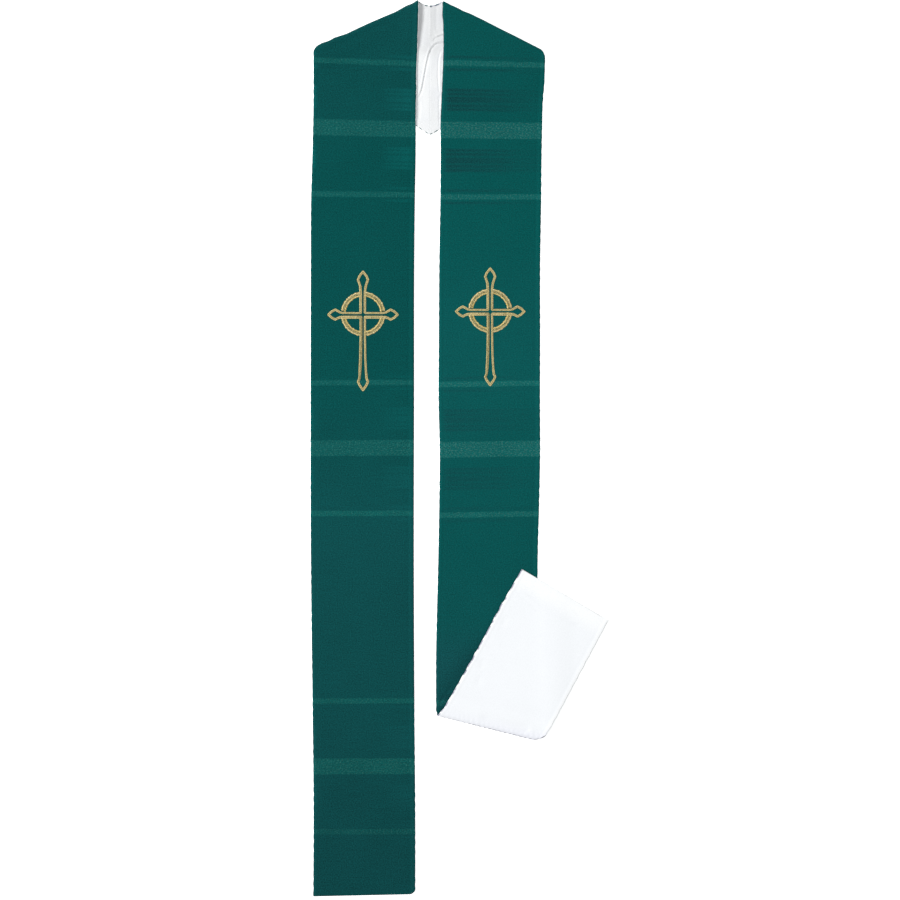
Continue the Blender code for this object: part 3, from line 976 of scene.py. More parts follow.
@dataclass(frozen=True)
class Band:
    """Plan, lay and finish of one band. sign is its side of the seam; lengths are in mm until used.

    shoulder_line holds how far the shoulder's fold stands out from a straight line, by distance from the
    seam, over shoulder_reach inside the fold; near the seam it starts at the first of seam_start and is
    whole after the second. fuller is how far the inner and the outer edge of the front stand out, and
    rim how far the lining shows past the inner edge, by distance down. An edge's crossing of a line is
    sought among tries places, and the shoulder's inner edge is worked out at seen_rows distances.
    """

    name: str
    sign: float
    neck: float
    corner: float
    corner_down: float
    sections: tuple[Section, ...]
    lifts: tuple[Lift, ...]
    shoulder_line: Shares
    creases: tuple[Crease, ...]
    cloth: FaceCloth
    rim: Shares = each(Share, (160, 0.75), (190, 0))
    fuller: Pair = (0.6, 0.35)
    shoulder: Roll = Roll(2.9 * MM, 0.085, 60.0 * MM, 4.0 * MM)
    shoulder_reach: float = 34.0
    seam_start: Pair = (3.0, 12.0)
    neck_dip: float = 5.5
    dip_reach: float = 0.45
    vee_down: float = 183.5
    vee_round: float = 60.0
    vee_round_share: float = 0.09
    cover_margin: float = 7.0
    cover_ramp: float = 42.0
    tuck_run: float = 15.0
    searched: Pair = (-0.02, 0.2)
    tries: int = 200
    seen_rows: int = 12

    def column(self, name: str, down: Array) -> Array:
        """One edge's distance from the seam, on a smooth cubic through the sections.

        Args:
            name: "inner" or "outer".
            down: Distances below the neck, in metres.

        Returns:
            The distances from the seam, in metres.
        """
        downs = np.array([section.down for section in self.sections]) * MM
        values = np.array([getattr(section, name) for section in self.sections]) * MM
        slopes = np.gradient(values, downs)
        i = np.clip(np.searchsorted(downs, down) - 1, 0, len(downs) - 2)
        step = downs[i + 1] - downs[i]
        t = np.clip((down - downs[i]) / step, 0.0, 1.0)
        ends = (1 + 2 * t) * (1 - t) ** 2 * values[i] + t * t * (3 - 2 * t) * values[i + 1]
        bends = t * (1 - t) ** 2 * slopes[i] + t * t * (t - 1) * slopes[i + 1]
        return ends + step * bends

    def edge(self, name: str, down: Array) -> Array:
        """Plan points of the inner or outer edge at distances below the neck."""
        return np.stack([self.sign * self.column(name, down), -np.asarray(down)], axis=-1)

    def edge_on_line(self, name: str, origin: Array, away: Array, distance: float,
                     downs: Pair) -> Array:
        """Finds where an edge crosses a line.

        Args:
            name: "inner" or "outer".
            origin: A point.
            away: The direction square to the line.
            distance: How far the line is from the point along that direction.
            downs: The stretch that is searched, below the neck.

        Returns:
            The plan point.
        """
        tries = np.linspace(*downs, self.tries)
        reach = (self.edge(name, tries) - origin) @ away - distance
        order = np.argsort(reach)
        return self.edge(name, np.interp(0.0, reach[order], tries[order]))

    @property
    def shoulder_corner(self) -> Array:
        """Plan point of the shoulder's outer corner."""
        return np.array([self.sign * self.corner, -self.corner_down]) * MM

    @property
    def neck_corner(self) -> Array:
        """Plan point of the shoulder's end beside the neck."""
        return np.array([self.sign * self.neck * MM, 0.0])

    @property
    def lower_edge(self) -> Array:
        """Direction of the back's lower edge, from the vee to the shoulder's corner."""
        return unit(self.shoulder_corner + np.array([0.0, self.vee_down * MM]))

    def cover(self, points: Array) -> Array:
        """1 where the front lies on the back, falling to 0 a ramp's width below its lower edge."""
        above = (points - self.shoulder_corner) @ up_square(self.lower_edge)
        return ease((above / MM + self.cover_margin + self.cover_ramp) / self.cover_ramp)

    def lifted(self, points: Array) -> Array:
        """Height of the shallow lifts along the band's edges.

        Args:
            points: Plan points.

        Returns:
            The height in metres.
        """
        height = np.zeros(points.shape[:-1])
        for lift in self.lifts:
            along = np.abs(-points[..., 1] / MM - lift.down)
            inner, outer = (self.column(name, lift.down * MM) for name in ("inner", "outer"))
            across = (np.abs(points[..., 0]) - inner) / (outer - inner)
            aside = fade(np.abs(across - lift.across), lift.spread)
            height += lift.height * MM * fade(along, lift.half_length) * aside
        return height

    def fallen(self, points: Array) -> Array:
        """How far a turned-up end falls past the band's outer edge: nothing on a plain band."""
        return np.zeros(points.shape[:-1])

    def bowed(self, down: Array) -> Array:
        """How far a turned-up end's inner edge lies inside a straight line: nothing on a plain band."""
        return np.zeros(down.shape)

    def eased_shoulder(self, plan: Array) -> Array:
        """Plan points moved square to the shoulder's fold, with its uneven line.

        Args:
            plan: Plan points.

        Returns:
            The moved points.
        """
        away = up_square(unit(self.shoulder_corner - self.neck_corner))
        from_seam = np.abs(plan[..., 0]) / MM
        out = on_table(self.shoulder_line, from_seam) * MM
        near = ease(1 + (plan - self.neck_corner) @ away / (self.shoulder_reach * MM))
        near = near * ramp(from_seam, *self.seam_start)
        return plan + (out * near)[..., None] * away

    def shoulder_rows(self, spacing: Spacing) -> Rows:
        """Rows from the seam at the back of the neck to where the front is level.

        Across the back they run from a shallow dip, a quadratic curve, to the lower edge, which leaves
        the vee on a curve share * exp(-share / vee_round_share). Round the shoulder they follow its roll,
        and where it is seen from above their inner ends lie on the front's own inner edge.

        Args:
            spacing: How far apart they are.

        Returns:
            The rows.
        """
        along_fold = unit(self.shoulder_corner - self.neck_corner)
        away = up_square(along_fold)
        depth = self.shoulder.radius + CLOTH / 2
        origin = self.neck_corner - away * depth
        back_outer = self.shoulder_corner - self.lower_edge * depth / (self.lower_edge @ away)
        seam_x = self.sign * SEAM_DRAWN / 2
        top, foot = (np.array([seam_x, -down * MM]) for down in (self.neck_dip, self.vee_down))
        dip = np.array([origin[0] * self.dip_reach, -self.neck_dip * MM])
        share = spacing.back_shares[:, None]
        inner = (1 - share) ** 2 * top + 2 * share * (1 - share) * dip + share**2 * origin
        outer = foot + share * (back_outer - foot)
        outer[:, 1:] -= self.vee_round * MM * share * np.exp(-share / self.vee_round_share)
        back = Rows(inner, outer, away)

        along = self.shoulder.stations(spacing.arc, spacing.slope)
        out, _, turn = self.shoulder.at(along)
        outs = np.linspace(out.max(), out[-1], self.seen_rows)
        seen = [self.edge_on_line("inner", origin, away, here, self.searched) for here in outs]
        last = self.edge_on_line("outer", origin, away, out[-1], self.searched)
        span = [(point - origin) @ along_fold for point in (back_outer, last)]
        slid = (
            np.interp(-out, -outs, (np.array(seen) - origin) @ along_fold) * ease(2 * turn / math.pi),
            np.interp(along, along[[0, -1]], span),
        )
        lay = {"on_back": upper_share(turn), "on_front": upper_share(turn)}
        roll = self.shoulder.rows(origin, along_fold, away, along, slid, **lay)
        return Rows.joined([back[:-1], roll])

    def front_rows(self, first: Rows, inner_down: float, outer_down: float, step: float) -> Rows:
        """Rows down the front, from just after the shoulder.

        Args:
            first: The shoulder's last row.
            inner_down: Where the inner edge ends, below the neck, in metres.
            outer_down: Where the outer edge ends.
            step: The distance between rows.

        Returns:
            The rows.
        """
        starts = -first.inner[-1, 1], -first.outer[-1, 1]
        length = (inner_down + outer_down - sum(starts)) / 2
        share = np.linspace(0.0, 1.0, round(length / step) + 1)[1:]
        inner = self.edge("inner", starts[0] + share * (inner_down - starts[0]))
        outer = self.edge("outer", starts[1] + share * (outer_down - starts[1]))
        return Rows(inner, outer, first.away[-1], STACK, math.pi, on_back=1.0, on_front=1.0)

    def rows(self, spacing: Spacing) -> tuple[Rows, slice]:
        """All rows of the band, and which of them are the level front."""
        raise NotImplementedError

    def place(self, rows: Rows, shares: Array, height: Array | float,
              shift: Array | float = 0.0) -> Array:
        """Points of the cloth on its rows.

        A point goes from its row's middle surface along that surface's own normal: by
        offset * sin(turn) outwards and -offset * cos(turn) upwards.

        Args:
            rows: The rows.
            shares: Shares of the rows' width, one a column.
            height: Height above the lining's outer side, one number or one a point.
            shift: How far each point is moved outwards along its row, in metres.

        Returns:
            An array of rows, columns and x, y, z.
        """
        offset = rows.face[:, None] * (height - CLOTH / 2)
        moved = shares + shift / rows.width
        plan = rows.inner[:, None] + moved[..., None] * (rows.outer - rows.inner)[:, None]
        near_corner = np.clip(1 - (1 - moved) * rows.width / (self.tuck_run * MM), 0.0, 1.0) ** 2
        plan = plan - rows.away[:, None] * (rows.tuck[:, None] * near_corner)[..., None]
        up = CLOTH / 2 + rows.rise[:, None] - offset * np.cos(rows.turn)[:, None]
        up = up - STACK * rows.on_back[:, None] * (1 - self.cover(plan))
        up = up + rows.on_front[:, None] * self.lifted(plan)
        up = up + rows.on_flap[:, None] * self.fallen(plan)
        plan = plan + rows.away[:, None] * (offset * np.sin(rows.turn)[:, None])[..., None]
        return np.concatenate([self.eased_shoulder(plan), up[..., None]], axis=-1)


@dataclass(frozen=True)
class HemmedBand(Band):
    """A band that lies flat to its straight hem, whose inner corner is a quarter circle."""

    hem_inner: float = 1230.0
    hem_outer: float = 1233.0
    hem_corner: float = 8.0
    corner_rows: int = 9

    def rows(self, spacing: Spacing) -> tuple[Rows, slice]:
        """All rows of the band, and which of them are the level front.

        Args:
            spacing: How far apart they are.

        Returns:
            The rows, and the front's part of them.
        """
        shoulder = self.shoulder_rows(spacing)
        ends = self.hem_inner * MM, self.hem_outer * MM
        front = self.front_rows(shoulder, *ends, spacing.front)
        radius = self.hem_corner * MM
        above = math.ceil(radius / spacing.front) + 1
        last = front[-1:]
        turn = np.linspace(0.0, math.pi / 2, self.corner_rows)
        up, inset = radius * (1 - np.sin(turn)), radius * (1 - np.cos(turn))
        across = unit(last.outer[0] - last.inner[0])
        back = [unit(edge[-2] - edge[-1]) for edge in (front.inner, front.outer)]
        inner = last.inner + np.outer(up, back[0]) + np.outer(inset, across)
        outer = last.outer + np.outer(up, back[1])
        hem = Rows(inner, outer, last.away[0], STACK, math.pi, on_back=1.0, on_front=1.0)
        rows = Rows.joined([shoulder, front[:-above], hem])
        return rows, slice(len(shoulder) - 1, len(rows))


@dataclass(frozen=True)
class TurnedUpBand(Band):
    """A band whose end is turned up over its front, with the fold's outer corner tucked in.

    end_line holds how far the turned-up end's inner edge lies inside a straight line, by distance below
    the neck.
    """

    turn_inner: Pair = (10.1, -984.4)
    turn_outer: Pair = (155.7, -1020.8)
    end_inner: Pair = (127.3, -782.5)
    end_outer: Pair = (246.0, -852.5)
    end_roll: Roll = Roll(3.3 * MM, 0.130, 80.0 * MM, 2.5 * MM)
    end_downs: Pair = (900.0, 1030.0)
    end_line: Shares = each(
        Share, (800, -0.9), (828, -0.7), (847, -0.1), (864, 0.6), (880, 1.2), (896, 1.6), (913, 2),
        (946, 2.45), (963, 2.5), (974, 2), (984, 0.7),
    )
    tuck_depth: float = 6.0
    droop_margin: float = 5.0
    droop_ramp: float = 48.0

    def fallen(self, points: Array) -> Array:
        """How far the turned-up end falls past the band's outer edge, over a ramp outside it."""
        past = points[..., 0] - self.column("outer", -points[..., 1])
        return -STACK * ease((past / MM - self.droop_margin) / self.droop_ramp)

    def bowed(self, down: Array) -> Array:
        """How far the turned-up end's inner edge lies inside a straight line, in mm."""
        return on_table(self.end_line, down)

    @property
    def fold_along(self) -> Array:
        """Direction of the lower fold, from its inner to its outer corner."""
        return unit(np.array(self.turn_outer) - np.array(self.turn_inner))

    def end_rows(self, spacing: Spacing) -> Rows:
        """Rows round the lower fold and up the turned-up end to its hem.

        Args:
            spacing: How far apart they are.

        Returns:
            The rows.
        """
        corners = [np.array(corner) * MM for corner in (self.turn_inner, self.turn_outer)]
        hem = [np.array(corner) * MM for corner in (self.end_inner, self.end_outer)]
        along_fold, away = self.fold_along, -up_square(self.fold_along)
        depth = self.end_roll.radius + CLOTH / 2
        origin = corners[0] - away * depth
        along = self.end_roll.stations(spacing.arc, spacing.slope)
        out, _, turn = self.end_roll.at(along)
        downs = tuple(down * MM for down in self.end_downs)
        starts = [self.edge_on_line(name, origin, away, 0.0, downs) for name in ("inner", "outer")]
        level = [
            corner + (end - corner) * (depth - out[-1]) / ((corner - end) @ away)
            for corner, end in zip(corners, hem)
        ]
        spans = [[(p - origin) @ along_fold for p in pair] for pair in zip(starts, level)]
        slid = [np.interp(along, along[[0, -1]], span) for span in spans]
        tuck = self.tuck_depth * MM * fade(along, along[-1])
        lay = {"face": -1.0, "tuck": tuck, "on_flap": upper_share(turn)}
        roll = self.end_roll.rows(origin, along_fold, away, along, slid, **lay)

        count = round(np.linalg.norm(hem[0] - level[0]) / spacing.flap)
        share = np.linspace(0.0, 1.0, count + 1)[1:, None]
        inner, outer = (start + share * (end - start) for start, end in zip(level, hem))
        return Rows.joined([roll, Rows(inner, outer, away, STACK, math.pi, -1.0, on_flap=1.0)])

    def rows(self, spacing: Spacing) -> tuple[Rows, slice]:
        """All rows of the band, and which of them are the level front.

        Args:
            spacing: How far apart they are.

        Returns:
            The rows, and the front's part of them.
        """
        shoulder, turned_up = self.shoulder_rows(spacing), self.end_rows(spacing)
        ends = -turned_up.inner[0, 1], -turned_up.outer[0, 1]
        front = self.front_rows(shoulder, *ends, spacing.front)[:-1]
        rows = Rows.joined([shoulder, front, turned_up])
        return rows, slice(len(shoulder) - 1, len(shoulder) + len(front))


LEFT_BAND = HemmedBand(
    name="left",
    sign=-1.0,
    neck=14.4,
    corner=159.8,
    corner_down=64.5,
    sections=each(
        Section, (0, 14.9, 159.5), (12, 15.7, 159.7), (28, 16.8, 160), (48, 17.6, 160),
        (68, 18.2, 160.1), (89, 19.2, 160.1), (105, 19.6, 160.2), (122, 19.4, 160.2),
        (137, 19.9, 160.3), (206, 20.3, 161.6), (275, 21.5, 163.6), (357, 22.3, 163.9),
        (551, 22.6, 164.2), (758, 23, 163.9), (965, 22.1, 161.6), (1103, 20.8, 160.2),
        (1240, 20.7, 160.6),
    ),
    lifts=each(
        Lift, (24, 46, 3.4, 0, 0.2), (232, 82, 2.4, 1, 0.75), (655, 90, 2, 0, 0.7),
        (872, 88, 2.6, 1, 0.8), (1085, 72, 1.8, 0, 0.65),
    ),
    shoulder_line=each(
        Share, (16, 2.8), (24, 1.3), (32, 1.9), (41, 0.8), (49, 0.2), (65, 0.5), (82, 0.8), (98, 0.5),
        (115, 0), (124, 1), (131, 1.9), (139, 1), (148, 2.1), (157, 1),
    ),
    creases=each(
        Crease,
        (((-24, 12), (-90, 43), (-152, 72)), -0.5, 3.6, 0.1),
        (((-60, 44), (-110, 66), (-155, 86)), 0.35, 5),
        (((-40, 110), (-95, 190), (-150, 250)), 0.35, 16),
        (((-120, 560), (-80, 640), (-30, 700)), 0.4, 18),
        (((-150, 800), (-100, 890), (-60, 930)), 0.4, 18),
        (((-30, 1020), (-70, 1100), (-80, 1170)), 0.35, 16),
    ),
    cloth=FaceCloth(
        name="green_cloth_left",
        first_stripe=176.8,
        top_tilt=0.05,
        tilt=-0.004,
        top_drift=-3.8,
        sheen_across=each(
            Share, (0, 0.01), (0.03, 0.02), (0.065, 0.12), (0.18, 0.08), (0.36, 0), (0.95, -0.01),
            (0.97, 0.1), (1, 0.1),
        ),
        painted_shading_down=each(
            Share, (0, -0.2), (0.13, -0.165), (0.36, -0.12), (0.5, -0.13), (0.56, -0.09),
            (0.67, -0.155), (1, -0.28),
        ),
        shade_dull_down=each(
            Share, (0, 0.22), (0.11, 0.14), (0.18, 0.03), (0.38, 0.03), (0.62, 0.28), (1, 0.33),
        ),
    ),
    rim=each(Share, (160, 0.75), (200, 0.6), (960, 0.6), (1010, 0)),
)
RIGHT_BAND = TurnedUpBand(
    name="right",
    sign=1.0,
    neck=14.6,
    corner=158.6,
    corner_down=71.0,
    sections=each(
        Section, (0, 16.6, 159.6), (12, 17.9, 159.4), (20, 17.7, 159.3), (28, 19, 159.2),
        (42, 19.7, 159.1), (68, 19.8, 159.2), (85, 19.3, 159.4), (103, 18.6, 158.7), (120, 17.8, 157),
        (145, 16.7, 155.2), (168, 15.7, 154.7), (206, 15.6, 153.9), (275, 15.2, 153.2),
        (357, 13.8, 151.9), (468, 13.1, 151.8), (551, 12.8, 151.6), (620, 14.4, 151.8),
        (689, 13.8, 150.5), (771, 12.3, 148.4), (909, 9.3, 150.4), (1030, 9.8, 155.8),
    ),
    lifts=each(
        Lift, (246, 74, 2.2, 0, 0.7), (632, 58, 3, 0, 0.8), (700, 64, 2, 1, 0.6),
    ),
    shoulder_line=each(
        Share, (18, 2.2), (28, 1.8), (37, 2.3), (45, 1.8), (53, 2.8), (70, 3), (95, 2.5), (119, 2.5),
        (152, 1.9), (157, 0.3),
    ),
    creases=each(
        Crease,
        (((26, 12), (90, 47), (150, 78)), -0.35, 3.4, 0.1),
        (((140, 120), (90, 190), (40, 250)), 0.35, 16),
        (((30, 560), (80, 630), (130, 700)), 0.4, 18),
        (((92, 850), (68.9, 890.9), (49.6, 915.7), (19.3, 958.4)), -0.45, 4.5, 0.15),
        (((30, 944), (19.3, 957), (11.5, 970)), -0.8, 1.6, 0.15),
    ),
    cloth=FaceCloth(
        name="green_cloth_right",
        first_stripe=178.4,
        top_tilt=-0.045,
        tilt=0.015,
        top_drift=-2.2,
        slack=2.6,
        shaded=0.13,
        fleck=srgb(84, 129, 121),
        sheen_across=each(
            Share, (0, -0.01), (0.035, -0.02), (0.065, -0.11), (0.25, -0.1), (0.55, -0.07),
            (0.8, -0.03), (1, -0.02),
        ),
        painted_shading_down=each(
            Share, (0, -0.06), (0.25, 0.02), (0.4, 0.1), (0.6, 0), (0.71, -0.03), (0.77, -0.12),
            (1, -0.12),
        ),
        shade_dull_down=each(
            Share, (0, 0.03), (0.25, 0), (0.38, 0.09), (0.6, 0.06), (0.68, 0.12), (0.74, 0.42),
        ),
    ),
    fuller=(1.1, 0.1),
)


# Creases and other shallow forms

# Lining at the back of the neck. Its middle stands a little above its two sides.
NECK_CREASES = each(
    Crease,
    (((0.9, 0), (0.9, 30), (0.2, 50)), 0.34, 1.9, 0.08),
    (((-9.4, 0), (-9.6, 22), (-11, 40), (-14, 66)), -1.1, 4.2, 0.1),
    (((-16, 133), (-12.6, 127), (-10.4, 121), (-8.4, 109.8), (-6.3, 97.4),
      (-4.2, 86.3), (-1.5, 75.3), (0.2, 69.8), (2.6, 65.3), (6.4, 61), (10.4, 58.4),
      (17, 57.2), (22, 57)), -1.05, 1, 0.03),
    (((-16.7, 129), (-13.2, 121), (-10.7, 109), (-8.6, 96.7), (-6.4, 85.3),
      (-3.9, 74.4), (-2.2, 68.8), (0.4, 63.4), (4.9, 58.5), (9.6, 55.8), (17, 54.7),
      (22, 54.5)), 0.95, 1.15, 0.08),
    (((22, 45.6), (18, 46.4), (12.4, 48.6), (7.4, 51.2), (4, 54.6)), -1.1, 0.9, 0.15),
    (((22, 43), (18, 44), (12, 46), (7, 48.4)), 1, 1.2, 0.15),
    (((8.6, 2), (8.4, 20), (8.6, 42)), -0.55, 2.2, 0.12),
    (((-1, 96), (2.5, 84), (6, 74), (8.5, 67)), 0.4, 4),
    (((16.4, 63), (11.6, 80.6), (10.8, 101.3), (12.6, 126.8)), -0.7, 1, 0.1),
    (((15.6, 66), (13.6, 90), (14, 122)), 0.6, 1.5, 0.1),
    (((-3, 118), (-2, 140), (-2, 168)), 0.5, 6.5, 0.15),
    (((-15, 134), (-14.4, 148), (-16, 166)), -0.7, 2.2),
    (((13, 128), (12.6, 150), (13.4, 175)), -0.6, 1.5, 0.1),
    (((0, 78), (0, 183)), -0.12, 0.6, 0.02),
)

# Lining on the turned-up end: along its hem, beside its folds, and a few soft hollows.
TURNED_UP_CREASES = each(
    Crease,
    (((131, 801), (166, 823), (206, 846)), 0.45, 1.7, 0.12),
    (((120, 809), (154, 836), (203, 860)), 0.5, 2.2, 0.12),
    (((164, 803), (186, 817), (208, 830.5)), -0.5, 0.9),
    (((128.5, 790), (186, 824), (240, 856)), 0.3, 1.8, 0.05),
    (((104, 846), (100, 862)), -0.3, 5),
    (((70, 905), (73, 920)), -0.35, 5),
    (((69, 928), (66, 944)), -0.3, 4.5),
    (((64, 984), (100, 995), (122, 1000), (142, 1003)), -0.9, 5.5, 0.2),
    (((116, 1001), (128, 1004.5), (138, 1004)), -0.8, 3),
)


@dataclass(frozen=True)
class ShallowForms:
    """What a band's cloth does within a millimetre or so of its plain lay. Lengths are in mm.

    Side edges are rolled: a low ridge stands a little inside them, and a shallow hollow inside that.
    Their line is gently scalloped, more and longer on a turned-up end, by the shares in folded_scallop.
    The lining lies inside the neck's edge by a wave, and shows and curls up past the front's. A
    turned-up end has puckers along its fold. level_turn and shown_turn are the turns of a roll, in
    radians, at which a form starts and over which it grows; the back of the neck is below back_turn.
    """

    band: Band
    roll_inside: float = 3.4
    roll_half: float = 1.9
    roll_height: float = 0.42
    hollow_inside: float = 2.2
    hollow_share: float = 0.4
    scallop: float = 0.26
    scallop_pitch: float = 13.0
    scallop_reach: float = 9.0
    uneven: float = 0.4
    uneven_pitch: float = 4.7
    folded_pitch: float = 0.45
    folded_scallop: Pair = (1.4, 0.3)
    side_starts: Pair = (0.0, 1.9)
    level_turn: Pair = (2.4, 0.6)
    shown_turn: Pair = (1.6, 1.2)
    back_turn: float = 0.5
    full_reach: float = 30.0
    inset: float = 0.25
    billow: float = 0.34
    billow_rise: float = 0.2
    billow_inside: float = 14.0
    billow_pitches: tuple[tuple[float, float, float], ...] = (
        (190.0, 310.0, 0.4),
        (-118.0, 170.0, 2.1),
        (84.0, -243.0, 4.0),
    )
    peep: float = 0.85
    peep_inner: float = 1.35
    peep_pitch: float = 7.0
    peep_reach: float = 5.0
    under_front: Pair = (-1.0, 2.5)
    curl: float = 1.2
    curl_reach: float = 0.75
    fold_pitch: float = 7.0
    fold_slant: float = 0.35
    fold_wave: float = 0.55
    fold_reach: float = 5.0
    fold_start: float = 50.0
    folded_roll: float = 0.35
    folded_billow: float = 0.15

    def _billows(self, plan: Array) -> Array:
        """Long low waves: a sum of sines of x / pitch + y / pitch.

        Args:
            plan: Plan points.

        Returns:
            The height in metres.
        """
        x, y = plan[..., 0] / MM, plan[..., 1] / MM
        waves = [np.sin(FULL_TURN * (x / a + y / b) + phase) for a, b, phase in self.billow_pitches]
        return self.billow * MM * sum(waves) / len(waves)

    def _side_rolls(self, edge: Array) -> Array:
        """The ridge inside a side edge, a bell of the distance from it, in metres."""
        inside = (edge / MM - self.roll_inside) / self.roll_half
        return self.roll_height * (hump(inside) - self.hollow_share * hump(inside - self.hollow_inside)) * MM

    def outward(self, rows: Rows, shares: Array, seen: Array) -> Array:
        """Fullness and scallops of both side edges, fading out inside them.

        The edges move by a product of two sines of the distance down, so that no two bumps are alike.
        Where a wall is not seen it has no scallops, and its edges lie a little inside.

        Args:
            rows: The band's rows.
            shares: Shares of their width.
            seen: 1 for rows where the wall is seen, and 0 for others.

        Returns:
            How far each point moves towards the outer edge, in metres.
        """
        folded = rows.face < 0
        pitch = self.scallop_pitch * (1 + self.folded_pitch * folded)
        moved = np.zeros((len(rows), len(shares)))
        sides = ((rows.inner, -1.0), (rows.outer, 1.0))
        lays = zip(sides, self.side_starts, self.folded_scallop, self.band.fuller)
        for (ends, side), start, more, fuller in lays:
            turn = FULL_TURN * (lengths_along(ends) / MM) / pitch + start
            uneven = 1 - self.uneven + self.uneven * np.sin(turn / self.uneven_pitch)
            wave = self.scallop * np.sin(turn) * uneven * seen * (1 + more * folded)
            near = (shares if side < 0 else 1 - shares) * rows.width / MM
            out = (wave - self.inset * (1 - seen))[:, None] * fade(near, self.scallop_reach)
            lay = -self.band.bowed(-ends[:, 1] / MM) * folded * (side < 0) + fuller * ~folded
            out = out + lay[:, None] * fade(near, self.full_reach)
            moved = moved + side * MM * out
        return moved * ramp(rows.turn, *self.level_turn)[:, None]

    def lining_edge(self, rows: Rows, shares: Array) -> Array:
        """How the lining's edge differs from the face cloth's.

        At the back of the neck it lies inside it, by a wave along the edge, so that the face cloth peeps
        out. Down part of the front it shows past the inner edge.

        Args:
            rows: The band's rows.
            shares: Shares of their width.

        Returns:
            How far each point moves towards the outer edge, in metres.
        """
        back = rows.turn < self.back_turn
        inner, outer = (
            fade(near * rows.width, self.peep_reach * MM) for near in (shares, 1 - shares)
        )
        moved = -self._shown(rows)[:, None] * inner
        sides = ((rows.inner, self.peep_inner, inner), (rows.outer, -1.0, outer))
        for ends, amount, near in sides:
            turn = FULL_TURN * ends[:, 0] / MM / self.peep_pitch
            peep = self.peep * np.clip(0.7 + np.sin(turn + 0.7 * np.sin(turn / 2.7)), 0.0, 1.3)
            moved = moved + amount * (peep * back)[:, None] * near
        return moved * MM

    def _shown(self, rows: Rows) -> Array:
        """How far each row's lining shows past the inner edge, in mm."""
        front = ramp(rows.turn, *self.shown_turn) * (rows.face > 0)
        return front * on_table(self.band.rim, -rows.inner[:, 1] / MM)

    def curled(self, rows: Rows, shares: Array) -> Array:
        """How far the lining's edge curls up beside the face cloth where it shows, in metres."""
        near = fade(shares * rows.width, self.curl_reach * MM)
        return self.curl * self._shown(rows)[:, None] * near * MM

    def face(self, plan: Array, edge: Array) -> Array:
        """Height of the face cloth's own forms.

        Args:
            plan: Plan points.
            edge: Their distances from the nearest side edge, in metres.

        Returns:
            The height in metres.
        """
        inside = ease(edge / (self.billow_inside * MM))
        billows = (self._billows(plan) + self.billow_rise * MM) * inside
        return self._side_rolls(edge) + relief_of(self.band.creases, plan) + billows

    def neck(self, plan: Array) -> Array:
        """Height of the lining's forms at the back of the neck, none under the fronts."""
        inside = self.band.column("inner", -plan[..., 1]) - np.abs(plan[..., 0])
        return relief_of(NECK_CREASES, plan) * ramp(inside / MM, *self.under_front)

    def turned_up(self, plan: Array, edge: Array) -> Array:
        """Height of the lining's forms on the turned-up end, with fine waves along its fold.

        Args:
            plan: Plan points.
            edge: Their distances from the nearest side edge, in metres.

        Returns:
            The height in metres.
        """
        corner = np.array(self.band.turn_inner) * MM
        above = (plan - corner) @ up_square(self.band.fold_along) / MM
        along = (plan - corner) @ self.band.fold_along / MM
        turn = FULL_TURN * (along + self.fold_slant * above) / self.fold_pitch
        puckers = np.sin(turn + 0.8 * np.sin(turn / 5.3)) * ease(along / self.fold_start)
        puckers = self.fold_wave * MM * puckers * np.exp(-above / self.fold_reach)
        low = self._side_rolls(edge) * self.folded_roll + self._billows(plan) * self.folded_billow
        return low + relief_of(TURNED_UP_CREASES, plan) + puckers


# Pieces


def move_to_frame(points: Array) -> Array:
    """Garment coordinates moved to the frame, by the place of the neck seam and the neck's top."""
    seam_x = CAD_LOW[0] + GARMENT_OUTER_LEFT * MM
    return points + np.array([seam_x, CAD_HIGH[1] + GARMENT_TOP_ABOVE * MM, 0.0])


def add_object(name: str, data: bpy.types.ID) -> bpy.types.Object:
    """Puts a mesh, a lamp or a camera into the scene.

    Args:
        name: The object's name.
        data: What it shows.

    Returns:
        The object, at the origin.
    """
    made = bpy.data.objects.new(name, data)
    bpy.context.scene.collection.objects.link(made)
    return made


def make_piece(name: str, points: Array, faces: list[list[int]], place: Array,
               material: bpy.types.Material, sharp: float = math.radians(55)) -> bpy.types.Object:
    """Makes one object from arrays.

    Args:
        name: The piece's name.
        points: Its vertices, in the garment's coordinates.
        faces: Vertex numbers of each face, in the order that makes it face outwards.
        place: Each vertex's place on the cloth, in metres, for the UV map.
        material: Its finish.
        sharp: The angle past which an edge is sharp.

    Returns:
        The object, at the origin.
    """
    mesh = bpy.data.meshes.new(name)
    mesh.from_pydata(move_to_frame(points), [], faces)
    corners = np.empty(len(mesh.loops), dtype=np.int32)
    mesh.loops.foreach_get("vertex_index", corners)
    layer = mesh.uv_layers.new(name="cloth")
    layer.data.foreach_set("uv", place[corners].astype(np.float32).ravel())
    mesh.materials.append(material)
    mesh.shade_smooth()
    mesh.set_sharp_from_angle(angle=sharp)
    return add_object(name, mesh)


def vertex_grid(stations: int, around: int, first: int = 0) -> Array:
    """Numbers of a tube's vertices, counted round each station in turn from a first number."""
    return first + np.arange(stations * around).reshape(stations, around)


def tube_faces(grid: Array, closed: bool = False) -> list[list[int]]:
    """Side faces of a tube.

    Args:
        grid: Its vertices' numbers, a row for each station.
        closed: Whether the last station joins the first.

    Returns:
        The faces.
    """
    near, ahead = (grid, np.roll(grid, -1, axis=0)) if closed else (grid[:-1], grid[1:])
    beside, ahead_beside = np.roll(near, -1, axis=1), np.roll(ahead, -1, axis=1)
    return np.stack([near, beside, ahead_beside, ahead], axis=-1).reshape(-1, 4).tolist()


class Side(Enum):
    """Which layer of a band a wall is, by which of its sides is shaped."""

    FACE = "band"
    LINING = "lining"


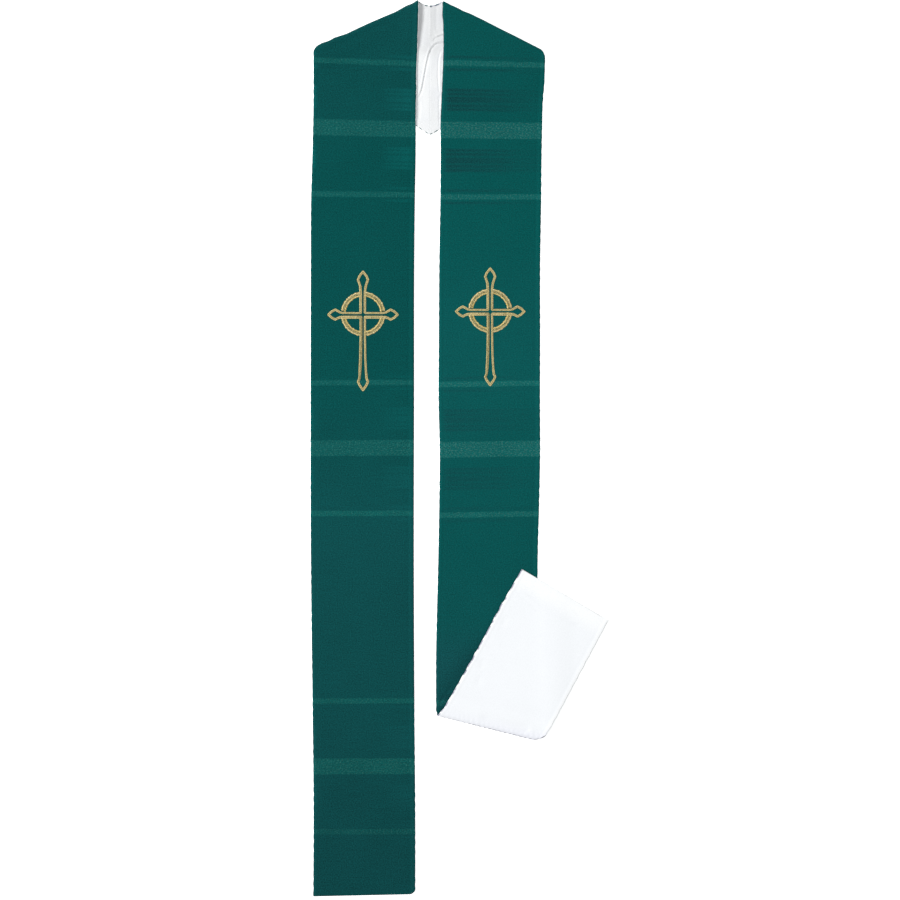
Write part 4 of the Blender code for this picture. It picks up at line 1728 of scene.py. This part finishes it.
@dataclass(frozen=True)
class ClothWall:
    """One layer of a band's cloth: a thin closed shell whose outer side carries the shallow forms.

    Its outer side is rounded down to the other layer along the side edges and the hem, over edge_round
    and down to the share least of its thickness. deepest is how far a trough may go into a lining. Its
    forms start at the first of level_turn, in radians round a roll, and grow over the second; those of
    the back of the neck die away by back_turn.
    """

    band: Band
    side: Side
    spacing: Spacing
    columns: int
    under_columns: int = 17
    crowding: float = 0.72
    under_crowding: float = 0.97
    edge_round: float = 1.5 * MM
    hem_inside: float = 0.2 * MM
    least: float = 0.12
    deepest: float = 0.92 * LINING_WALL
    level_turn: Pair = (2.6, 0.5)
    back_turn: float = 0.6

    @property
    def name(self) -> str:
        """The name of the node that the wall replaces."""
        return f"{self.side.value}_{self.band.name}"

    @property
    def heights(self) -> Pair:
        """Heights of its under side and outer side above the lining's outer side."""
        return (CLOTH - BAND_WALL, CLOTH) if self.side is Side.FACE else (LINING_WALL, 0.0)

    def _shares(self, count: int, crowding: float) -> Array:
        """Shares of the width, crowded towards both edges: t - crowding * sin(2 pi t) / (2 pi)."""
        even = np.linspace(0.0, 1.0, count)
        return even - crowding * np.sin(FULL_TURN * even) / FULL_TURN

    def _relief(self, rows: Rows, plan: Array, edge: Array) -> Array:
        """Height of the outer side's own forms, only where that side faces up, none through the wall.

        Args:
            rows: The band's rows.
            plan: Plan points.
            edge: Their distances from the nearest side edge.

        Returns:
            The height in metres.
        """
        forms = ShallowForms(self.band)
        level = ramp(rows.turn, *self.level_turn)[:, None]
        folded = rows.face[:, None] < 0
        if self.side is Side.FACE:
            return np.where(folded, 0.0, level * forms.face(plan, edge))
        back = ease(1 - rows.turn / self.back_turn)[:, None] * ~folded
        relief = np.where(folded, 0.0, back * forms.neck(plan))
        if folded.any():
            relief = relief + np.where(folded, level * forms.turned_up(plan, edge), 0.0)
        return np.maximum(relief, -self.deepest)

    def _down(self, middle: Array, front: slice) -> Array:
        """Distance down the cloth, in metres.

        It is the distance below the neck on the level front. Elsewhere it is that of the front's near
        end, and the length of the cloth between.

        Args:
            middle: Points of the wall's middle surface.
            front: Which rows are the level front.

        Returns:
            The distance at each row and column.
        """
        travelled = lengths_along(middle)
        down = -middle[..., 1]
        first, last = front.start, front.stop - 1
        down[:first] = travelled[:first] - travelled[first] + down[first]
        down[last + 1 :] = travelled[last + 1 :] - travelled[last] + down[last]
        return down

    def _end_faces(self, grid: Array) -> list[list[int]]:
        """Faces that close the wall's two ends, each a strip of triangles between its two layers.

        Args:
            grid: The wall's vertices' numbers, a row for each of its rows.

        Returns:
            The faces.
        """
        outer, under = grid[0, : self.columns], grid[0, : self.columns - 1 : -1]
        middles = (np.arange(self.columns - 1) + 0.5) / (self.columns - 1)
        near = np.round(middles * (self.under_columns - 1)).astype(int)
        first = np.searchsorted(near, np.arange(1, self.under_columns))
        on_outer = np.stack([outer[:-1], outer[1:], under[near]], axis=1)
        on_under = np.stack([outer[first], under[1:], under[:-1]], axis=1)
        strip = np.concatenate([on_outer, on_under])
        return [*strip[:, ::-1].tolist(), *(strip + grid[-1, 0]).tolist()]

    def _height(self, rows: Rows, shares: Array, middle: Array, down: Array) -> Array:
        """Height of the outer side, rounded at its edges, with its forms.

        Args:
            rows: The band's rows.
            shares: Shares of their width.
            middle: Points of the wall's middle surface.
            down: Their distance down the cloth.

        Returns:
            The height of each point above the lining's outer side.
        """
        under, outer = self.heights
        edge = np.minimum(shares, 1 - shares) * rows.width
        ends = np.minimum(edge, down[-1] - down + self.hem_inside)
        inside = 1 - np.clip(ends / self.edge_round, 0.0, 1.0)
        rounded = self.least + (1 - self.least) * np.sqrt(1 - inside**2)
        relief = self._relief(rows, middle[..., :2], edge) * ease(ends / (2 * self.edge_round))
        return under + (outer - under) * rounded + math.copysign(1.0, outer - under) * relief

    def build(self, material: bpy.types.Material) -> bpy.types.Object:
        """Builds the wall round a ring of columns at every row.

        Args:
            material: Its finish.

        Returns:
            The piece.
        """
        rows, front = self.band.rows(self.spacing)
        forms = ShallowForms(self.band)
        lining = self.side is Side.LINING
        outer_shares = self._shares(self.columns, self.crowding)
        under_shares = self._shares(self.under_columns, self.under_crowding)[::-1]
        seen = (rows.face < 0) * 1.0 if lining else np.ones(len(rows))
        sheets, downs = [], []
        for shares in (outer_shares, under_shares):
            shift = forms.outward(rows, shares, seen)
            shift = shift + forms.lining_edge(rows, shares) if lining else shift
            middle = self.band.place(rows, shares, CLOTH / 2, shift)
            down = self._down(middle, front)
            if shares is outer_shares:
                height = self._height(rows, shares, middle, down)
            else:
                height = np.full(shift.shape, self.heights[0])
            height = height + forms.curled(rows, shares) if lining else height
            sheets.append(self.band.place(rows, shares, height, shift))
            downs.append(down)
        points, down = np.concatenate(sheets, axis=1), np.concatenate(downs, axis=1)
        across = np.broadcast_to(np.concatenate([outer_shares, under_shares]) * CUT_WIDTH, down.shape)
        place = np.stack([across, down], axis=-1).reshape(-1, 2)
        grid = vertex_grid(*down.shape)
        faces = tube_faces(grid) + self._end_faces(grid)
        if (self.band.sign < 0) == lining:
            faces = [face[::-1] for face in faces]
        return make_piece(f"{self.name}_cloth", points.reshape(-1, 3), faces, place, material)


@dataclass(frozen=True)
class RingedCross:
    """A ringed cross in satin stitch: one closed line round the arms, and a ring in four quarters.

    Lengths are in mm. The line has two rows of stitches with a gap between, and so has the ring. The
    pairs from top_left to tips hold the half width of the line's parts and how far they lie outside its
    path; tip_starts says where the tips' share begins and over how long: across, up and down.
    foot_share scales the foot's length, and size the side arms' and the ring's.
    """

    band: Band
    centre: Pair
    size: float = 1.0
    foot_share: float = 1.0
    arm_half: float = 3.0
    top_arm: tuple[ArmPoint, ...] = each(
        ArmPoint, (31, 3), (38.5, 3.9), (44.5, 5.8), (48, 7.1), (53.2, 5), (59.5, 0),
    )
    side_arm: tuple[ArmPoint, ...] = each(
        ArmPoint, (27, 3), (31.5, 3.6), (35.5, 5.6), (38, 7.1), (43, 4.6), (48, 0),
    )
    foot_arm: tuple[ArmPoint, ...] = each(
        ArmPoint, (33, 3), (60, 3.5), (79, 4.5), (87, 5.2), (91, 7.1), (96, 4.9), (103, 0),
    )
    line_half: float = 1.95
    line_rise: float = 1.05
    corner_round: float = 0.6
    top_left: Pair = (1.9, 0.2)
    top_right: Pair = (1.65, -0.4)
    foot_left: Pair = (2.05, -0.15)
    foot_right: Pair = (1.5, -0.35)
    side_upper: Pair = (1.4, -0.9)
    side_lower: Pair = (2.15, 0.6)
    tips: Pair = (1.7, -0.25)
    tip_starts: tuple[Pair, ...] = ((27.0, 8.0), (32.0, 9.0), (76.0, 9.0))
    part_soft: float = 1.6
    ring_radius: float = 27.3
    ring_up: float = 1.0
    ring_half: float = 3.35
    ring_rise: float = 0.95
    ring_end: float = 3.6
    ragged: float = 0.34
    quarter_shift: float = 3.0
    frayed: float = 0.10
    frayed_pitch: float = 2.3
    dome_power: float = 0.6
    dip: float = 0.5
    dip_half: float = 0.25
    bell_reach: float = 2.5
    step: float = 0.2
    across_rows: int = 13
    ridge: float = 0.09
    sunk: float = 0.35
    from_edge: float = 60.0
    gold: GoldThread = GoldThread()

    def _arm(self, arm: tuple[ArmPoint, ...], turn: float, share: float) -> Array:
        """One arm's outline, from its inner corner round its tip and back, turned about the centre.

        Args:
            arm: Its points.
            turn: The angle it is turned by.
            share: What its length is scaled by.

        Returns:
            The outline's points.
        """
        near = [(point.half_width, point.along * share) for point in arm]
        far = [(-half, along) for half, along in near[-2::-1]]
        points = np.array([(self.arm_half, self.arm_half), *near, *far])
        cosine, sine = math.cos(turn), math.sin(turn)
        return points @ np.array([[cosine, sine], [-sine, cosine]])

    def _line_lay(self, path: Array) -> tuple[Array, Array]:
        """Half width along the closed line, and how far it lies outside its path, in mm.

        Args:
            path: Points of the line.

        Returns:
            Both, one number a point.
        """
        x, y = path[:, 0], path[:, 1]
        reaches = zip((np.abs(x), y, -y), self.tip_starts)
        tip = sum(ramp(reach, *start) for reach, start in reaches)
        side, up, right = (
            ease(value / self.part_soft + 0.5) for value in (np.abs(x) - np.abs(y), y, x)
        )
        left_line = blend(up, self.top_left, self.foot_left)
        upright = blend(right, blend(up, self.top_right, self.foot_right), left_line)
        straight = blend(side, blend(up, self.side_upper, self.side_lower), upright)
        half, outside = blend(tip, self.tips, straight)
        return half, outside

    def _line_path(self) -> Array:
        """The closed line round all four arms, sampled evenly, its corners rounded by a short bell.

        Returns:
            Points of the line.
        """
        quarter = math.pi / 2
        arms = (
            (self.top_arm, 0.0, 1.0),
            (self.side_arm, quarter, self.size),
            (self.foot_arm, math.pi, self.foot_share),
            (self.side_arm, -quarter, self.size),
        )
        corners = np.concatenate([self._arm(*arm) for arm in arms])
        loop = np.concatenate([corners, corners[:1]])
        along = lengths_along(loop)
        samples = np.linspace(0.0, along[-1], round(along[-1] / self.step), endpoint=False)
        path = np.column_stack([np.interp(samples, along, loop[:, i]) for i in (0, 1)])
        reach = round(self.bell_reach * self.corner_round / self.step)
        offsets = np.arange(-reach, reach + 1)
        weights = hump(offsets * self.step / self.corner_round)
        rolled = [weight * np.roll(path, offset, axis=0) for weight, offset in zip(weights, offsets)]
        return sum(rolled) / weights.sum()

    def _arc(self, quarter: int, radius: float) -> Array:
        """One row of a quarter of the ring, between the lines of two arms.

        Args:
            quarter: Which quarter, counted from 0.
            radius: The ring's radius.

        Returns:
            Its points, slightly ragged.
        """
        reach = math.asin(self.ring_end / radius)
        start = quarter * math.pi / 2 + reach
        sweep = math.pi / 2 - 2 * reach
        angles = start + np.linspace(0.0, sweep, round(sweep * radius / self.step))
        along = angles * radius + quarter * self.quarter_shift
        ragged = 0.6 * np.sin(along * 1.05) + 0.5 * np.sin(along * 1.83 + 1.0)
        uneven = (radius + self.ragged * ragged)[:, None]
        return uneven * np.column_stack([np.cos(angles), np.sin(angles)]) + [0.0, self.ring_up]

    def _stitched(self, path: Array, half: Array | float, outside: Array | float,
                  rise: float, closed: bool, mapped: Pair) -> tuple[Array, Array]:
        """Rows of stitches carried along a path.

        The section is a dome rise * (1 - s ** 2) ** dome_power over s from -1 to 1, with a dip in its
        middle, and slanting threads stand out of it by a cosine of the way along.

        Args:
            path: Points of the middle line, in mm.
            half: The section's half width, one number or one a point.
            outside: How far it lies to the right of the path, likewise.
            rise: Its height.
            closed: Whether the path is a loop.
            mapped: Its middle and its half width on the map.

        Returns:
            The points and their places on the map, a row for each point of the path.
        """
        ahead = np.roll(path, -1, axis=0) - np.roll(path, 1, axis=0)
        if not closed:
            ahead[0], ahead[-1] = path[1] - path[0], path[-1] - path[-2]
        ahead /= np.linalg.norm(ahead, axis=1)[:, None]
        square = np.column_stack([ahead[:, 1], -ahead[:, 0]])
        s = np.linspace(-1.0, 1.0, self.across_rows)
        thread = self.gold.thread
        along = np.arange(len(path)) * self.step
        if closed:
            along = along * round(along[-1] / thread) * thread / (len(path) * self.step)
        half, outside = (np.broadcast_to(value, len(path))[:, None] for value in (half, outside))
        aside = s * half
        turn = FULL_TURN * (along[:, None] + self.gold.slant * aside) / thread
        dome = (1 - s**2) ** self.dome_power * (1.0 - self.dip * hump(s / self.dip_half))
        up = rise * dome + self.ridge * np.cos(turn) * np.minimum(1.0, dome * 2)
        frayed = self.frayed * np.sin(turn[:, [0, -1]] / self.frayed_pitch)
        spread = outside + aside * (1 + np.abs(s) ** 6 * frayed.mean(axis=1)[:, None])
        plan = path[:, None] + spread[..., None] * square[:, None]
        plan = np.concatenate([plan, plan[:, [-1, 0]]], axis=1)
        up = np.concatenate([up, np.full((len(path), 2), -self.sunk)], axis=1)
        across = mapped[0] + mapped[1] * np.concatenate([s, s[[-1, 0]]])
        place = np.stack(np.broadcast_arrays(across, along[:, None]), axis=-1)
        return np.concatenate([plan, up[..., None]], axis=-1), place

    def _laid(self, points: Array) -> Array:
        """Moves stitches onto the cloth's own surface.

        Args:
            points: Points about the centre, in mm.

        Returns:
            The points in the garment's coordinates, in metres.
        """
        plan = (points[..., :2] + self.centre) * MM
        edge = np.full(plan.shape[:-1], self.from_edge * MM)
        cloth = CLOTH + STACK * self.band.cover(plan) + self.band.lifted(plan)
        cloth = cloth + ShallowForms(self.band).face(plan, edge) + points[..., 2] * MM
        return np.concatenate([plan, cloth[..., None]], axis=-1)

    def build(self, material: bpy.types.Material) -> bpy.types.Object:
        """Builds the whole cross as one piece.

        Args:
            material: Its finish.

        Returns:
            The piece.
        """
        line = self._line_path()
        parts = [(line, *self._line_lay(line), self.line_rise, True, (0.0, self.line_half))]
        on_ring = self.gold.ring_aside, self.ring_half
        for quarter in range(4):
            arc = self._arc(quarter, self.ring_radius * self.size)
            parts.append((arc, self.ring_half, 0.0, self.ring_rise, False, on_ring))
        points, places, faces = [], [], []
        for part in parts:
            made, place = self._stitched(*part)
            grid = vertex_grid(*made.shape[:2], sum(map(len, points)))
            faces += tube_faces(grid, closed=part[4])
            if not part[4]:
                faces += [grid[0, ::-1].tolist(), grid[-1].tolist()]
            points.append(self._laid(made).reshape(-1, 3))
            places.append(place.reshape(-1, 2) * MM)
        name = f"cross_{self.band.name}_stitching"
        return make_piece(name, np.concatenate(points), faces, np.concatenate(places), material)


@dataclass(frozen=True)
class Studio:
    """Plain floor, soft light from the upper left, and a camera that looks straight down."""

    frame_width: float = 1.2402
    centre: Pair = (-0.0133, -0.0018)
    lens: float = 200.0
    sensor: float = 36.0
    floor_size: float = 12.0
    floor_depth: float = 1.0 * MM
    key_place: tuple[float, float, float] = (-2.6, 1.2, 3.2)
    key_size: float = 1.6
    key_power: float = 124.0
    sky: float = 0.60

    def floor(self) -> bpy.types.Object:
        """Makes the floor, a square just below the stole.

        Returns:
            The floor.
        """
        half = self.floor_size / 2
        corners = [(-half, -half), (half, -half), (half, half), (-half, half)]
        mesh = bpy.data.meshes.new("floor")
        mesh.from_pydata([(x, y, -self.floor_depth) for x, y in corners], [], [(0, 1, 2, 3)])
        mesh.materials.append(PaleFloor().material())
        made = add_object("floor", mesh)
        made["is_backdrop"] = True
        return made

    def light(self) -> bpy.types.Object:
        """Makes the even surrounding light and one soft lamp, aimed at the stole's middle.

        Returns:
            The lamp.
        """
        scene = bpy.context.scene
        scene.world = bpy.data.worlds.new("surroundings")
        scene.world.use_nodes = True
        sky = scene.world.node_tree.nodes["Background"]
        sky.inputs["Color"].default_value = WHITE
        sky.inputs["Strength"].default_value = self.sky
        lamp = bpy.data.lights.new("key", "AREA")
        lamp.shape = "DISK"
        lamp.size = self.key_size
        lamp.energy = self.key_power
        made = add_object("key", lamp)
        made.location = self.key_place
        made.rotation_euler = made.location.to_track_quat("Z", "Y").to_euler()
        scene.view_settings.view_transform = "Standard"
        return made

    def camera(self) -> bpy.types.Object:
        """Makes the camera, as high as its lens needs for the frame's width.

        Returns:
            The camera.
        """
        data = bpy.data.cameras.new("camera")
        data.lens = self.lens
        data.sensor_width = self.sensor
        made = add_object("camera", data)
        made.location = (*self.centre, self.frame_width * self.lens / self.sensor)
        bpy.context.scene.camera = made
        return made


@dataclass(frozen=True)
class Stole:
    """The whole stole: two bands of two layers each, and two crosses."""

    face_spacing: Spacing = Spacing(2.3 * MM, 0.7 * MM, 1.6 * MM, 3.0 * MM, 14, 12)
    lining_spacing: Spacing = Spacing(9.0 * MM, 0.7 * MM, 1.6 * MM, 1.8 * MM, 56, 18)
    face_columns: int = 84
    lining_columns: int = 180
    bands: tuple[Band, ...] = (LEFT_BAND, RIGHT_BAND)
    crosses: tuple[RingedCross, ...] = (
        RingedCross(LEFT_BAND, (-92.2, -431.5), 1.0, 1.014),
        RingedCross(RIGHT_BAND, (83.0, -427.2), 0.985, 0.988),
    )

    def _band(self, band: Band) -> list[bpy.types.Object]:
        """Builds a band's face cloth and lining, and hides the parts of model.glb that they stand for.

        Args:
            band: The band.

        Returns:
            The two pieces.
        """
        finish = band.cloth.material()
        lining = LiningCloth(f"white_lining_{band.name}", isinstance(band, TurnedUpBand)).material()
        face = ClothWall(band, Side.FACE, self.face_spacing, self.face_columns).build(finish)
        back = ClothWall(band, Side.LINING, self.lining_spacing, self.lining_columns).build(lining)
        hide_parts(f"band_{band.name}")
        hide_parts(f"lining_{band.name}")
        return [face, back]

    def build(self) -> list[bpy.types.Object]:
        """Builds every piece of the stole.

        Returns:
            The pieces, all riding on the one body.
        """
        gold = GoldThread().material()
        pieces = [piece for band in self.bands for piece in self._band(band)]
        for cross in self.crosses:
            piece = cross.build(gold)
            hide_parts(f"cross_{cross.band.name}")
            pieces.append(piece)
        for piece in pieces:
            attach(piece, "root")
            log.info("%s: %d faces", piece.name, len(piece.data.polygons))
        return pieces


def main() -> None:
    """Builds the studio and the stole."""
    logging.basicConfig(level=logging.INFO, format="%(name)s: %(message)s")
    studio = Studio()
    for thing in (studio.camera(), studio.light(), studio.floor()):
        log.info("%s ready", thing.name)
    Stole().build()


if __name__ == "__main__":
    main()
